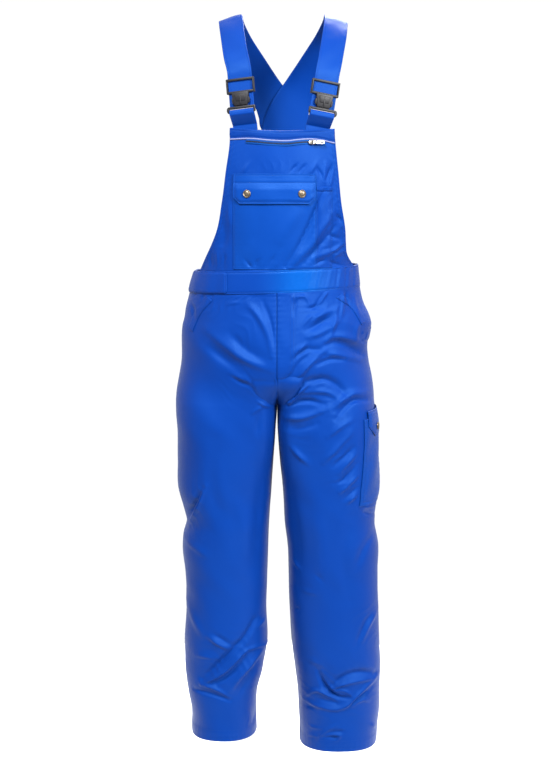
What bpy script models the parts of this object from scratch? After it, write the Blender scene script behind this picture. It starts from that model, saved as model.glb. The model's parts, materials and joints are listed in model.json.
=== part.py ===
# Bib-and-brace work overalls, filled out as worn.
# Metres. Z is up, the front faces -Y, +X is the wearer's left, and the shoulders carry the straps at z = 0.
import math

import bmesh
import bpy
import numpy as np
from mathutils import Matrix, Vector
from mathutils.bvhtree import BVHTree

CLOTH = 0.0016          # trouser, bib and back twill
POCKET_CLOTH = 0.0012
BAND_CLOTH = 0.0026     # waistband, folded double
SEAM = 0.0003           # space left between two pieces
SEAM_TURN = 0.0008      # the same space as a share of a panel's width

CENTRE = -0.0045        # centre seam of the trousers
WAIST_TOP = -0.480
WAIST_BOTTOM = -0.522
SEAT_END = -0.642       # the centre seams start to curve under the body here
CROTCH = -0.742
THIGH_EASE = 0.070
HEM = {"right": -1.430, "left": -1.452}
SIGN = {"right": -1, "left": 1}

STRAP_WIDTH = 0.046
STRAP_CLOTH = 0.0020
SNAP_RADIUS = 0.0075

COLOURS = {
    "twill": (0.012, 0.115, 0.62, 1.0),
    "trim": (0.42, 0.50, 0.90, 1.0),
    "webbing": (0.010, 0.095, 0.56, 1.0),
    "plastic": (0.018, 0.019, 0.022, 1.0),
    "brass": (0.42, 0.36, 0.25, 1.0),
    "zip": (0.78, 0.74, 0.66, 1.0),
}
FINISHES = {"twill": (0.85, 0.0), "trim": (0.7, 0.0), "webbing": (0.9, 0.0),
            "plastic": (0.45, 0.0), "brass": (0.4, 1.0), "zip": (0.35, 0.8)}


class Sections:
    # Sections down the garment, read at any height on a smooth curve through the rows.
    def __init__(self, columns, *rows):
        self.values = {name: np.array(column) for name, column in zip(columns.split(), zip(*rows))}

    def at(self, column, z):
        down = -self.values["z"]
        values = self.values[column]
        slopes = np.gradient(values, down)
        place = np.clip(-np.asarray(z, float), down[0], down[-1])
        row = np.clip(np.searchsorted(down, place) - 1, 0, len(down) - 2)
        span = down[row + 1] - down[row]
        part = (place - down[row]) / span
        rest = 1 - part
        return ((1 + 2 * part) * rest ** 2 * values[row] + part * rest ** 2 * span * slopes[row]
                + part ** 2 * (3 - 2 * part) * values[row + 1] - part ** 2 * rest * span * slopes[row + 1])


# The body of the garment, from the chest to below the seat: side lines, and depth before and behind them
TRUNK = Sections(
    "z       right    left    front   back",
    (-0.170, -0.165, 0.178, 0.1120, 0.1284),
    (-0.214, -0.167, 0.180, 0.1165, 0.1286),
    (-0.300, -0.170, 0.180, 0.1215, 0.1270),
    (-0.380, -0.170, 0.175, 0.1215, 0.1250),
    (-0.440, -0.167, 0.163, 0.1190, 0.1220),
    (-0.481, -0.1665, 0.1545, 0.1175, 0.1210),
    (-0.505, -0.1735, 0.1565, 0.1180, 0.1230),
    (-0.529, -0.1790, 0.1595, 0.1195, 0.1280),
    (-0.553, -0.1850, 0.1656, 0.1225, 0.1340),
    (-0.577, -0.1885, 0.1775, 0.1260, 0.1390),
    (-0.589, -0.1915, 0.1815, 0.1275, 0.1410),
    (-0.612, -0.1939, 0.1780, 0.1300, 0.1445),
    (-0.630, -0.1941, 0.1745, 0.1315, 0.1460),
    (-0.661, -0.1944, 0.1764, 0.1330, 0.1470),
    (-0.697, -0.1987, 0.1827, 0.1320, 0.1460),
    (-0.742, -0.2065, 0.1885, 0.1290, 0.1430),
    (-0.810, -0.2050, 0.1940, 0.1250, 0.1380))

# Each leg below the crotch: its outer and inner line, and depth before and behind them
LEGS = {
    "right": Sections(
        "z       outer    inner    front   back",
        (-0.742, -0.2065, -0.0047, 0.1180, 0.1220),
        (-0.806, -0.2040, -0.0088, 0.1120, 0.1130),
        (-0.867, -0.2043, -0.0131, 0.1060, 0.1050),
        (-0.929, -0.2025, -0.0172, 0.1000, 0.0990),
        (-0.960, -0.1930, -0.0195, 0.0970, 0.0965),
        (-0.989, -0.1870, -0.0213, 0.0950, 0.0945),
        (-1.014, -0.1935, -0.0225, 0.0930, 0.0930),
        (-1.041, -0.1959, -0.0233, 0.0910, 0.0910),
        (-1.103, -0.1903, -0.0254, 0.0870, 0.0880),
        (-1.166, -0.1888, -0.0276, 0.0840, 0.0860),
        (-1.242, -0.1936, -0.0256, 0.0810, 0.0830),
        (-1.293, -0.1920, -0.0339, 0.0780, 0.0800),
        (-1.344, -0.1863, -0.0463, 0.0750, 0.0770),
        (-1.383, -0.1804, -0.0485, 0.0730, 0.0750),
        (-1.430, -0.1800, -0.0480, 0.0730, 0.0740)),
    "left": Sections(
        "z       outer   inner    front   back",
        (-0.742, 0.1885, -0.0043, 0.1180, 0.1220),
        (-0.806, 0.1935, -0.0030, 0.1120, 0.1130),
        (-0.867, 0.1960, 0.0015, 0.1060, 0.1050),
        (-0.929, 0.1965, 0.0080, 0.1000, 0.0990),
        (-0.991, 0.1914, 0.0115, 0.0950, 0.0945),
        (-1.041, 0.1999, 0.0173, 0.0910, 0.0910),
        (-1.103, 0.1985, 0.0193, 0.0870, 0.0880),
        (-1.166, 0.2011, 0.0214, 0.0840, 0.0860),
        (-1.242, 0.2038, 0.0256, 0.0810, 0.0830),
        (-1.293, 0.2064, 0.0318, 0.0780, 0.0800),
        (-1.344, 0.2048, 0.0381, 0.0750, 0.0770),
        (-1.383, 0.2052, 0.0402, 0.0730, 0.0750),
        (-1.422, 0.2014, 0.0423, 0.0730, 0.0740),
        (-1.452, 0.1996, 0.0424, 0.0730, 0.0740))}

# Side edges of the bib, and of the back panel, which narrows to the two strap ends
BIB = Sections(
    "z       right    left",
    (-0.213, -0.0930, 0.1030),
    (-0.238, -0.0937, 0.1051),
    (-0.294, -0.1016, 0.1111),
    (-0.351, -0.1095, 0.1171),
    (-0.408, -0.1212, 0.1262),
    (-0.431, -0.1309, 0.1275),
    (-0.453, -0.1420, 0.1300),
    (-0.481, -0.1560, 0.1450))
BACK = Sections(
    "z       right    left    square",
    (-0.178, -0.0368, 0.0588, 4.0),
    (-0.235, -0.0368, 0.0588, 4.0),
    (-0.300, -0.0430, 0.0630, 3.0),
    (-0.350, -0.0600, 0.0740, 2.4),
    (-0.400, -0.0840, 0.0900, 2.0),
    (-0.450, -0.1130, 0.1080, 2.0),
    (-0.481, -0.1380, 0.1260, 2.0))

# The largest folds, on the front as seen from the front. Depth is negative for a trough; width is half its width.
FOLDS = (
    # start x, z       middle x, z      end x, z         width   depth
    ((0.088, -0.315), (0.061, -0.395), (0.012, -0.470), 0.011, -0.0050),
    ((0.098, -0.372), (0.066, -0.436), (0.022, -0.472), 0.011, 0.0032),
    ((0.086, -0.452), (0.062, -0.462), (0.040, -0.468), 0.008, -0.0030),
    ((0.053, -0.592), (0.077, -0.583), (0.101, -0.571), 0.012, -0.0035),
    ((0.088, -0.624), (0.115, -0.622), (0.163, -0.648), 0.012, -0.0045),
    ((0.032, -0.689), (0.056, -0.653), (0.083, -0.632), 0.012, 0.0040),
    ((0.058, -0.713), (0.107, -0.694), (0.150, -0.724), 0.013, -0.0050),
    ((0.016, -0.779), (0.048, -0.768), (0.083, -0.754), 0.012, 0.0040),
    ((-0.136, -0.554), (-0.155, -0.568), (-0.174, -0.584), 0.013, -0.0035),
    ((-0.083, -0.621), (-0.048, -0.648), (-0.018, -0.672), 0.013, 0.0030),
    ((-0.141, -0.881), (-0.160, -0.939), (-0.176, -0.989), 0.014, -0.0060),
    ((-0.043, -1.174), (-0.095, -1.234), (-0.157, -1.309), 0.014, -0.0060),
    ((-0.040, -1.240), (-0.093, -1.266), (-0.156, -1.318), 0.012, 0.0055),
    ((0.083, -1.285), (0.097, -1.328), (0.145, -1.342), 0.012, -0.0060),
    ((0.097, -1.323), (0.140, -1.304), (0.186, -1.311), 0.012, 0.0055),
    ((0.186, -1.318), (0.147, -1.345), (0.101, -1.363), 0.012, 0.0045),
    ((0.162, -1.219), (0.175, -1.200), (0.188, -1.184), 0.012, -0.0040))
# The largest folds behind, as seen through from the front
BACK_FOLDS = (
    ((-0.150, -0.700), (-0.100, -0.745), (-0.045, -0.790), 0.015, -0.0050),
    ((0.140, -0.690), (0.090, -0.740), (0.040, -0.780), 0.015, -0.0050),
    ((-0.170, -1.000), (-0.110, -1.025), (-0.050, -1.010), 0.014, -0.0060),
    ((0.180, -1.010), (0.115, -1.030), (0.050, -1.020), 0.014, -0.0060),
    ((-0.165, -1.300), (-0.110, -1.330), (-0.065, -1.320), 0.013, 0.0050),
    ((0.180, -1.310), (0.130, -1.340), (0.065, -1.330), 0.013, 0.0050))


def ease(value):
    # Smooth step from 0 to 1
    part = np.clip(value, 0, 1)
    return part * part * (3 - 2 * part)


def waist_rise(x, z):
    # The waist slopes up a little to the wearer's left
    return 0.035 * x * ease((z + 0.62) / 0.09)


def relief(x, z, folds):
    # Height of the folds over a panel at the places x, z
    total = np.zeros_like(x)
    along = np.linspace(0, 1, 25)
    for start, middle, end, width, depth in folds:
        a, b, c = (np.array(point) for point in (start, middle, end))
        bend = 2 * b - (a + c) / 2
        line = (np.outer((1 - along) ** 2, a) + np.outer(2 * along * (1 - along), bend)
                + np.outer(along ** 2, c))
        away = np.hypot(x[..., None] - line[:, 0], z[..., None] - line[:, 1])
        nearest = away.argmin(axis=-1)
        reach = np.exp(-(away.min(axis=-1) / width) ** 2)
        total += depth * reach * np.sin(math.pi * np.clip(along[nearest], 0.06, 0.94)) ** 0.5
    return total


def trouser_surface(side):
    # Turn 0 is the side seam, 1 the front and -1 the back inner edge of one half of the trousers
    sign, leg = SIGN[side], LEGS[side]

    def surface(turn, z):
        around = np.abs(turn)
        front = turn >= 0
        seat_angle = around * math.pi / 2
        seat_outer = TRUNK.at(side, z)
        seat_inner = CENTRE + sign * SEAM / 2
        seat_depth = np.where(front, -TRUNK.at("front", z), TRUNK.at("back", z))
        seat_x = seat_inner + (seat_outer - seat_inner) * np.cos(seat_angle)
        seat_y = seat_depth * np.sin(seat_angle)
        leg_angle = around * math.pi
        outer, inner = leg.at("outer", z), leg.at("inner", z)
        leg_depth = np.where(front, -leg.at("front", z), leg.at("back", z))
        full = 1 + 0.05 * np.sin(2 * leg_angle) ** 2
        leg_x = (outer + inner) / 2 + (outer - inner) / 2 * np.cos(leg_angle) * full
        leg_y = leg_depth * np.sin(leg_angle) * full
        # The centre seam curves under the body to the crotch; further out the thigh takes shape lower down
        under = np.clip((SEAT_END - z) / (SEAT_END - CROTCH), 0, 1) ** 2.2
        drop = np.clip((SEAT_END - z) / (SEAT_END - CROTCH + THIGH_EASE), 0, 1)
        thigh = drop ** 3 * (10 - 15 * drop + 6 * drop ** 2)
        share = thigh + (under - thigh) * around ** 8
        x = seat_x + (leg_x - seat_x) * share
        y = seat_y + (leg_y - seat_y) * share
        return np.stack((x, y, z + waist_rise(x, z)), axis=-1)
    return surface


def band_surface(back):
    # The waistband lies round the trunk; turn -1 is the wearer's right side and 1 the left
    def surface(turn, z):
        angle = turn * math.pi / 2
        right, left = TRUNK.at("right", z), TRUNK.at("left", z)
        proud = 0.0010
        x = (right + left) / 2 + ((left - right) / 2 + proud) * np.sin(angle)
        depth = TRUNK.at("back", z) + proud if back else -TRUNK.at("front", z) - proud
        return np.stack((x, depth * np.cos(angle), z + waist_rise(x, z)), axis=-1)
    return surface


def chest_surface(edges, back, top):
    # A panel over the chest or back: across runs 0 to 1 between its side edges, up runs 0 to 1 from the waistband
    def surface(across, up):
        bottom = WAIST_TOP + SEAM
        z = bottom + (top(across) - bottom) * up
        x = edges.at("right", z) + (edges.at("left", z) - edges.at("right", z)) * across
        right, left = TRUNK.at("right", z), TRUNK.at("left", z)
        beside = np.clip(np.abs(x - (right + left) / 2) / ((left - right) / 2), 0, 0.999)
        if back:
            square = edges.at("square", z)
            y = TRUNK.at("back", z) * (1 - beside ** square) ** (1 / square)
        else:
            y = -TRUNK.at("front", z) * np.sqrt(1 - beside ** 2)
        return np.stack((x, y, z + waist_rise(x, z) * (1 - up) ** 4), axis=-1)
    return surface


class Panel:
    # A net of points on a panel's outer face, with the directions that point out of the cloth
    def __init__(self, surface, first, second, folds=(), fade=None):
        u, v = np.meshgrid(first, second)
        self.points = surface(u, v)
        step = 1e-4
        along = surface(u + step, v) - surface(u - step, v)
        down = surface(u, v + step) - surface(u, v - step)
        normals = np.cross(along, down)
        normals /= np.linalg.norm(normals, axis=-1, keepdims=True)
        middle = self.points.mean(axis=(0, 1)) * (1, 0.5, 1)
        if np.sum(normals * (self.points - middle)) < 0:
            normals = -normals
        for edge in (0, -1):
            normals[edge, :, 2] = 0
            normals[edge] /= np.linalg.norm(normals[edge], axis=-1, keepdims=True)
        self.normals = normals
        if folds:
            height = relief(self.points[..., 0], self.points[..., 2], folds)
            if fade is not None:
                height *= fade(u, v)
            self.points = self.points + normals * height[..., None]

    def crop(self, axis, outline):
        # The part of the net that an outline covers, with a cell to spare on each side
        low, high = np.min(outline, axis=0), np.max(outline, axis=0)
        flat = self.points[..., [1 if axis == "X" else 0, 2]]
        corners = np.stack((flat[:-1, :-1], flat[:-1, 1:], flat[1:, :-1], flat[1:, 1:]))
        meets = ((corners.max(axis=0) > low) & (corners.min(axis=0) < high)).all(axis=-1)
        rows, columns = np.where(meets.any(axis=1))[0], np.where(meets.any(axis=0))[0]
        first_row, last_row = max(rows[0] - 1, 0), rows[-1] + 3
        first_column, last_column = max(columns[0] - 1, 0), columns[-1] + 3
        area = (slice(first_row, last_row), slice(first_column, last_column))
        return self.points[area], self.normals[area]


def new_object(name, mesh, finish):
    thing = bpy.data.objects.new(name, mesh)
    bpy.context.scene.collection.objects.link(thing)
    material = bpy.data.materials.get(finish) or bpy.data.materials.new(finish)
    material.use_nodes = True
    shader = material.node_tree.nodes["Principled BSDF"]
    shader.inputs["Base Color"].default_value = COLOURS[finish]
    shader.inputs["Roughness"].default_value, shader.inputs["Metallic"].default_value = FINISHES[finish]
    mesh.materials.append(material)
    return thing


def closed_mesh(name, points, faces):
    # A mesh from points and faces, with its faces turned outward
    form = bmesh.new()
    corners = [form.verts.new(tuple(point)) for point in points]
    for face in faces:
        form.faces.new([corners[index] for index in face])
    bmesh.ops.recalc_face_normals(form, faces=form.faces)
    mesh = bpy.data.meshes.new(name)
    form.to_mesh(mesh)
    form.free()
    return mesh


def wall(name, outer, inner, finish):
    # Cloth between two nets of points
    rows, columns = outer.shape[:2]
    points = np.concatenate((outer.reshape(-1, 3), inner.reshape(-1, 3)))
    index = np.arange(rows * columns).reshape(rows, columns)
    below = index + rows * columns
    faces = []
    for row in range(rows - 1):
        for column in range(columns - 1):
            for net in (index, below):
                a, b = net[row, column], net[row, column + 1]
                c, d = net[row + 1, column + 1], net[row + 1, column]
                faces += [(a, b, c), (a, c, d)]
    rim = np.concatenate((index[0, :-1], index[:-1, -1], index[-1, :0:-1], index[:0:-1, 0]))
    for here, there in zip(rim, np.roll(rim, -1)):
        faces.append((here, there, there + rows * columns, here + rows * columns))
    return new_object(name, closed_mesh(name, points, faces), finish)


def sew(name, panel, finish="twill", cloth=CLOTH):
    return wall(name, panel.points, panel.points - panel.normals * cloth, finish)


def prism(name, outline, near, far, finish, axis="Y"):
    # An outline pushed along Y, or along X with the outline in y and z
    corners = []
    for depth in (near, far):
        for first, up in outline:
            corners.append((depth, first, up) if axis == "X" else (first, depth, up))
    count = len(outline)
    faces = [tuple(range(count)), tuple(range(count, 2 * count))]
    for here in range(count):
        there = (here + 1) % count
        faces.append((here, there, there + count, here + count))
    return new_object(name, closed_mesh(name, corners, faces), finish)


def combine(thing, other, operation):
    change = thing.modifiers.new(operation.lower(), "BOOLEAN")
    change.operation = operation
    change.object = other
    other.display_type = "WIRE"
    other.hide_render = True
    return thing


def lay(name, panel, outline, under, cloth, finish="twill", axis="Y", reach=(-0.30, 0.0)):
    # A piece that lies on a panel: the panel's points moved out, cut to an outline
    points, normals = panel.crop(axis, outline)
    gap = under(points) if callable(under) else np.full(points.shape[:2], under)
    inner = points + normals * gap[..., None]
    piece = wall(name, inner + normals * cloth, inner, finish)
    return combine(piece, prism(name + "_cut", outline, *reach, finish, axis), "INTERSECT")


def seat(panel, axis, first, up, lift):
    # The place and outward direction over a panel, looking along an axis at a point given across and up
    rows, columns = panel.points.shape[:2]
    index = np.arange(rows * columns).reshape(rows, columns)
    faces = []
    for row in range(rows - 1):
        for column in range(columns - 1):
            a, b = index[row, column], index[row, column + 1]
            c, d = index[row + 1, column + 1], index[row + 1, column]
            faces += [(a, b, c), (a, c, d)]
    net = BVHTree.FromPolygons(panel.points.reshape(-1, 3).tolist(), np.array(faces).tolist())
    start, way = ((1, first, up), (-1, 0, 0)) if axis == "X" else ((first, -1, up), (0, 1, 0))
    place, out = net.ray_cast(Vector(start), Vector(way))[:2]
    if out.dot(Vector(way)) > 0:
        out = -out
    return place + out * lift, out


def frame(place, out, up=(0, 0, 1)):
    # A matrix with local -Y along the outward direction and local Z near up
    y = -Vector(out).normalized()
    up = Vector(up)
    if abs(y.dot(up.normalized())) > 0.99:
        up = Vector((0, 1, 0))
    x = y.cross(up).normalized()
    z = x.cross(y)
    turn = Matrix((x, y, z)).transposed().to_4x4()
    return Matrix.Translation(Vector(place)) @ turn


def turned(name, place, out, profile, finish, sides=12):
    # A round piece from a profile of radius and height, closed on its axis at both ends
    points, faces = [(0, -profile[0][1], 0)], []
    for radius, height in profile[1:-1]:
        for side in range(sides):
            angle = 2 * math.pi * side / sides
            points.append((radius * math.cos(angle), -height, radius * math.sin(angle)))
    points.append((0, -profile[-1][1], 0))
    rings = len(profile) - 2
    for side in range(sides):
        there = (side + 1) % sides
        faces.append((0, 1 + side, 1 + there))
        for ring in range(rings - 1):
            low, high = 1 + ring * sides, 1 + (ring + 1) * sides
            faces.append((low + side, low + there, high + there, high + side))
        last = 1 + (rings - 1) * sides
        faces.append((len(points) - 1, last + side, last + there))
    mesh = closed_mesh(name, points, faces)
    mesh.shade_smooth()
    mesh.set_sharp_from_angle(angle=math.radians(40))
    piece = new_object(name, mesh, finish)
    piece.matrix_world = frame(place, out)
    return piece


def ribbon(name, centres, across, width, cloth, finish="webbing"):
    # Flat webbing along a path; across gives the direction of its width at each point
    centres, across = np.array(centres), np.array(across)
    along = np.gradient(centres, axis=0)
    thick = np.cross(across, along)
    thick /= np.linalg.norm(thick, axis=1, keepdims=True)
    across = np.cross(along, thick)
    across /= np.linalg.norm(across, axis=1, keepdims=True)
    corners = [(-1, 1), (1, 1), (1, -1), (-1, -1)]
    rings = [centres + across * width / 2 * side + thick * cloth / 2 * face for side, face in corners]
    points = np.stack(rings, axis=1).reshape(-1, 3)
    faces = [(0, 1, 2, 3), tuple(len(points) - 4 + corner for corner in range(4))]
    for ring in range(len(centres) - 1):
        for corner in range(4):
            there = (corner + 1) % 4
            low, high = ring * 4, ring * 4 + 4
            faces.append((low + corner, low + there, high + there, high + corner))
    return new_object(name, closed_mesh(name, points, faces), finish)


def smooth_path(points, count):
    # Points evenly spread on a smooth curve through a few
    points = np.array(points)
    steps = np.concatenate(([0], np.cumsum(np.linalg.norm(np.diff(points, axis=0), axis=1))))
    path = Sections("z x y up", *[(-step, *point) for step, point in zip(steps, points)])
    where = -np.linspace(0, steps[-1], count)
    return np.stack([path.at(column, where) for column in ("x", "y", "up")], axis=-1)


def make_legs():
    panels = {}
    for side in ("right", "left"):
        heights = np.concatenate((np.linspace(WAIST_BOTTOM - SEAM, -0.655, 6, endpoint=False),
                                  np.linspace(-0.655, CROTCH, 6, endpoint=False),
                                  np.linspace(CROTCH, -1.170, 15, endpoint=False),
                                  np.linspace(-1.170, HEM[side], 14)))
        surface = trouser_surface(side)
        for face, sign, columns, folds in (("front", 1, 11, FOLDS), ("back", -1, 8, BACK_FOLDS)):
            turns = sign * np.linspace(SEAM_TURN, 1 - SEAM_TURN, columns + 1)
            turns[-1] = sign * (1 - SEAM_TURN / 2)
            panel = Panel(surface, turns, heights, folds,
                          lambda u, v: ease(np.abs(u) / 0.15) * ease((1 - np.abs(u)) / 0.10))
            panels[face, side] = panel
            sew(f"{face}_leg_{side}", panel)
    return panels


def make_fly(front_leg):
    top, bottom, width = WAIST_BOTTOM - 2 * SEAM, -0.688, 0.033
    edge = CENTRE + 0.0008
    curve = [(edge + width * math.cos(angle), bottom + 0.038 + 0.038 * math.sin(angle))
             for angle in np.linspace(0, -math.pi / 2, 8)]
    lay("fly", front_leg, [(edge, top), (edge + width, top), *curve, (edge, bottom)], SEAM, POCKET_CLOTH)


def make_waistband():
    turns = np.linspace(-1 + SEAM_TURN, 1 - SEAM_TURN, 29)
    heights = np.linspace(WAIST_BOTTOM, WAIST_TOP, 3)
    front = Panel(band_surface(False), turns, heights)
    sew("waistband_front", front, cloth=BAND_CLOTH)

    # The back half is drawn in by elastic at both ends
    gathered = np.linspace(-1 + SEAM_TURN, 1 - SEAM_TURN, 97)
    back = Panel(band_surface(True), gathered, heights)
    wave = 0.0009 * np.sin(gathered * math.pi * 15) * ease((np.abs(gathered) - 0.3) / 0.1)
    back.points = back.points + back.normals * (wave * ease((1 - np.abs(gathered)) / 0.04))[None, :, None]
    sew("waistband_back", back, cloth=BAND_CLOTH)

    end, half, corner = -0.0998, 0.0200, 0.012
    middle = (WAIST_TOP + WAIST_BOTTOM) / 2
    outline = [(-0.180, middle - half)]
    for angle in np.linspace(-math.pi / 2, 0, 5):
        outline.append((end - corner + corner * math.cos(angle), middle - half + corner + corner * math.sin(angle)))
    for angle in np.linspace(0, math.pi / 2, 5):
        outline.append((end - corner + corner * math.cos(angle), middle + half - corner + corner * math.sin(angle)))
    outline.append((-0.180, middle + half))
    lay("waist_tab", front, outline, SEAM, CLOTH)


def make_bib():
    def top(across):
        return -0.2125 - 0.0050 * np.sin(math.pi * across) - 0.0015 * across

    panel = Panel(chest_surface(BIB, False, top), np.linspace(0, 1, 15), np.linspace(0, 1, 16), FOLDS)
    sew("bib", panel)

    # Line of the piping under the band along the bib's top
    line = Sections("z         down",
                    (0.130, -0.2420), (0.104, -0.2405), (0.080, -0.2355), (0.059, -0.2335), (0.038, -0.2345),
                    (0.016, -0.2368), (-0.018, -0.2358), (-0.055, -0.2325), (-0.093, -0.2335), (-0.120, -0.2340))
    across = np.linspace(-0.118, 0.128, 21)
    height = line.at("down", across)
    piping = 0.0036
    lay("bib_band", panel, [(-0.118, -0.200), *zip(across, height + piping / 2 + SEAM), (0.128, -0.200)],
        SEAM, POCKET_CLOTH)
    strip = [*zip(across, height - piping / 2), *zip(across[::-1], height[::-1] + piping / 2)]
    lay("piping", panel, strip, SEAM, 0.0021, "trim")

    zip_right, zip_left, zip_width = -0.0630, 0.0860, 0.0075
    inside = [x for x in across if zip_right < x < zip_left]
    upper = [(x, line.at("down", x) - piping / 2 - SEAM) for x in (zip_right, *inside, zip_left)]
    lay("zip_tape", panel, [*upper, *[(x, z - zip_width) for x, z in reversed(upper)]], SEAM, 0.0010)
    make_zip(panel, float(line.at("down", 0.0605)) - piping / 2 - zip_width / 2)

    pocket = {"right": -0.0870, "left": 0.0697, "top": -0.306, "bottom": -0.4777}

    def fullness(points):
        # The pocket stands off the bib most at its middle
        x, z = points[..., 0], points[..., 2]
        wide = np.clip((x - pocket["right"]) / (pocket["left"] - pocket["right"]), 0, 1)
        high = np.clip((z - pocket["bottom"]) / (pocket["top"] - pocket["bottom"]), 0, 1)
        return SEAM + 0.0022 * np.sin(math.pi * wide) * np.sin(math.pi * high)

    lay("chest_pocket", panel,
        [(pocket["right"], pocket["bottom"]), (pocket["left"], pocket["bottom"]),
         (pocket["left"], pocket["top"]), (pocket["right"], pocket["top"])], fullness, POCKET_CLOTH)
    flap = {"right": -0.0858, "left": 0.0668, "top": -0.2984, "side": -0.3425, "corner": 0.0115}

    def over_pocket(points):
        z = points[..., 2]
        swell = ease((flap["top"] - z) / 0.03)
        return fullness(points) + POCKET_CLOTH + SEAM + 0.0012 * swell

    bottom = flap["side"] - flap["corner"]
    lay("pocket_flap", panel,
        [(flap["right"], flap["top"]), (flap["right"], flap["side"]), (flap["right"] + flap["corner"], bottom),
         (flap["left"] - flap["corner"], bottom), (flap["left"], flap["side"]), (flap["left"], flap["top"])],
        over_pocket, POCKET_CLOTH)
    lay("pencil_pocket", panel, [(0.0702, -0.4755), (0.0990, -0.4755), (0.0980, -0.3226), (0.0702, -0.3226)],
        SEAM, POCKET_CLOTH)

    for name, x in (("chest_snap_right", -0.0593), ("chest_snap_left", 0.0414)):
        here = np.array([[[x, 0.0, -0.3353]]])
        lift = float(over_pocket(here)[0, 0]) + POCKET_CLOTH + 2 * SEAM
        make_snap(name, *seat(panel, "Y", x, -0.3353, lift))


def make_snap(name, place, out):
    # A pressed cap with a raised rim and a low dome
    r = SNAP_RADIUS
    profile = [(0, 0), (0.75 * r, 0), (r, 0.0006), (r, 0.0016), (0.86 * r, 0.0023), (0.70 * r, 0.0018),
               (0.45 * r, 0.0022), (0, 0.0024)]
    turned(name, place, out, profile, "brass")


def bar(name, size, centre, finish):
    # A straight block given by its width, depth and height
    x, y, z = centre
    w, d, h = (value / 2 for value in size)
    return prism(name, [(x - w, z - h), (x + w, z - h), (x + w, z + h), (x - w, z + h)], y - d, y + d, finish)


def make_zip(panel, height):
    # The slider stands on the tapes; its tab hangs on a pin across the slider and turns about it
    place, out = seat(panel, "Y", 0.0620, height - 2 * SEAM, 0.0010 + 2 * SEAM)
    here = frame(place, out)
    pin_radius, pin_out, pin_half = 0.0008, 0.0052, 0.0033
    slider = bar("zip_slider", (0.0110, 0.0028, 0.0070), (0, -0.0014, 0), "zip")
    posts = [bar(f"zip_post_{index}", (0.0030, 0.0037, 0.0010), (0, -0.0043, z), "zip")
             for index, z in enumerate((-0.0029, 0.0029))]
    pin = turned("zip_pin", (0, 0, 0), (0, 0, 1),
                 [(0, -pin_half), (pin_radius, -pin_half), (pin_radius, pin_half), (0, pin_half)], "zip", 8)
    pin.matrix_world = Matrix.Translation((0, -pin_out, 0)) @ pin.matrix_world
    for extra in (*posts, pin):
        combine(slider, extra, "UNION")

    barrel_radius, barrel_half = 0.0019, 0.0020
    tab = turned("zip_pull", (0, 0, 0), (0, 0, 1),
                 [(0, -barrel_half), (barrel_radius, -barrel_half), (barrel_radius, barrel_half),
                  (0, barrel_half)], "zip", 12)
    half_outline = [(0.0010, 0.0017), (0.0035, 0.0017), (0.0080, 0.0030), (0.0200, 0.0030), (0.0220, 0.0015)]
    blade_outline = half_outline + [(x, -z) for x, z in reversed(half_outline)]
    blade = prism("zip_blade", blade_outline, -0.0006, 0.0006, "zip")
    bore = turned("zip_bore", (0, 0, 0), (0, 0, 1),
                  [(0, -0.006), (pin_radius + SEAM, -0.006), (pin_radius + SEAM, 0.006), (0, 0.006)], "zip", 12)
    tab.data.transform(tab.matrix_world)
    tab.matrix_world = here @ Matrix.Translation((0, -pin_out, 0))
    for thing in (blade, bore):
        thing.matrix_world = tab.matrix_world @ thing.matrix_world
    combine(combine(tab, blade, "UNION"), bore, "DIFFERENCE")
    for thing in (slider, pin, *posts):
        thing.matrix_world = here @ thing.matrix_world


def make_hip_pockets(panels):
    # A bound edge along each slanted pocket mouth
    width = 0.011
    for side, points in (("left", [(0.118, -0.5270), (0.147, -0.548), (0.169, -0.582)]),
                         ("right", [(-0.138, -0.5325), (-0.160, -0.557), (-0.178, -0.595)])):
        sign = SIGN[side]
        inner = [(x - sign * width * 0.8, z - width * 0.6) for x, z in points]
        lay(f"hip_welt_{side}", panels["front", side], points + inner[::-1], SEAM, POCKET_CLOTH)


def make_cargo_pocket(panels):
    # The pocket lies round the outside of the wearer's left leg, across the side seam
    front, back = panels["front", "left"], panels["back", "left"]
    around = Panel.__new__(Panel)
    around.points = np.concatenate((back.points[:, ::-1], front.points), axis=1)
    around.normals = np.concatenate((back.normals[:, ::-1], front.normals), axis=1)
    pocket = {"front": -0.086, "back": 0.072, "top": -0.772, "bottom": -0.9435}
    bulge = 0.0026

    def fullness(points):
        y, z = points[..., 1], points[..., 2]
        wide = np.clip((y - pocket["front"]) / (pocket["back"] - pocket["front"]), 0, 1)
        high = np.clip((z - pocket["bottom"]) / (pocket["top"] - pocket["bottom"]), 0, 1)
        return SEAM + bulge * np.sin(math.pi * wide) * np.sin(math.pi * high) ** 0.7

    reach = (0.12, 0.30)
    lay("cargo_pocket", around,
        [(pocket["front"], pocket["bottom"]), (pocket["back"], pocket["bottom"]),
         (pocket["back"], pocket["top"]), (pocket["front"], pocket["top"])],
        fullness, POCKET_CLOTH, axis="X", reach=reach)
    flap = {"front": -0.077, "back": 0.064, "top": -0.757, "side": -0.788, "bottom": -0.808, "corner": 0.024}

    def over_pocket(points):
        return fullness(points) + POCKET_CLOTH + SEAM + 0.0006

    lay("cargo_flap", around,
        [(flap["front"], flap["top"]), (flap["front"], flap["side"]),
         (flap["front"] + flap["corner"], flap["bottom"]), (flap["back"] - flap["corner"], flap["bottom"]),
         (flap["back"], flap["side"]), (flap["back"], flap["top"])],
        over_pocket, POCKET_CLOTH, axis="X", reach=reach)
    for name, y in (("cargo_snap_front", -0.043), ("cargo_snap_back", 0.030)):
        here = np.array([[[0.0, y, -0.790]]])
        lift = float(over_pocket(here)[0, 0]) + POCKET_CLOTH + 2 * SEAM
        make_snap(name, *seat(around, "X", y, -0.790, lift))


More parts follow.
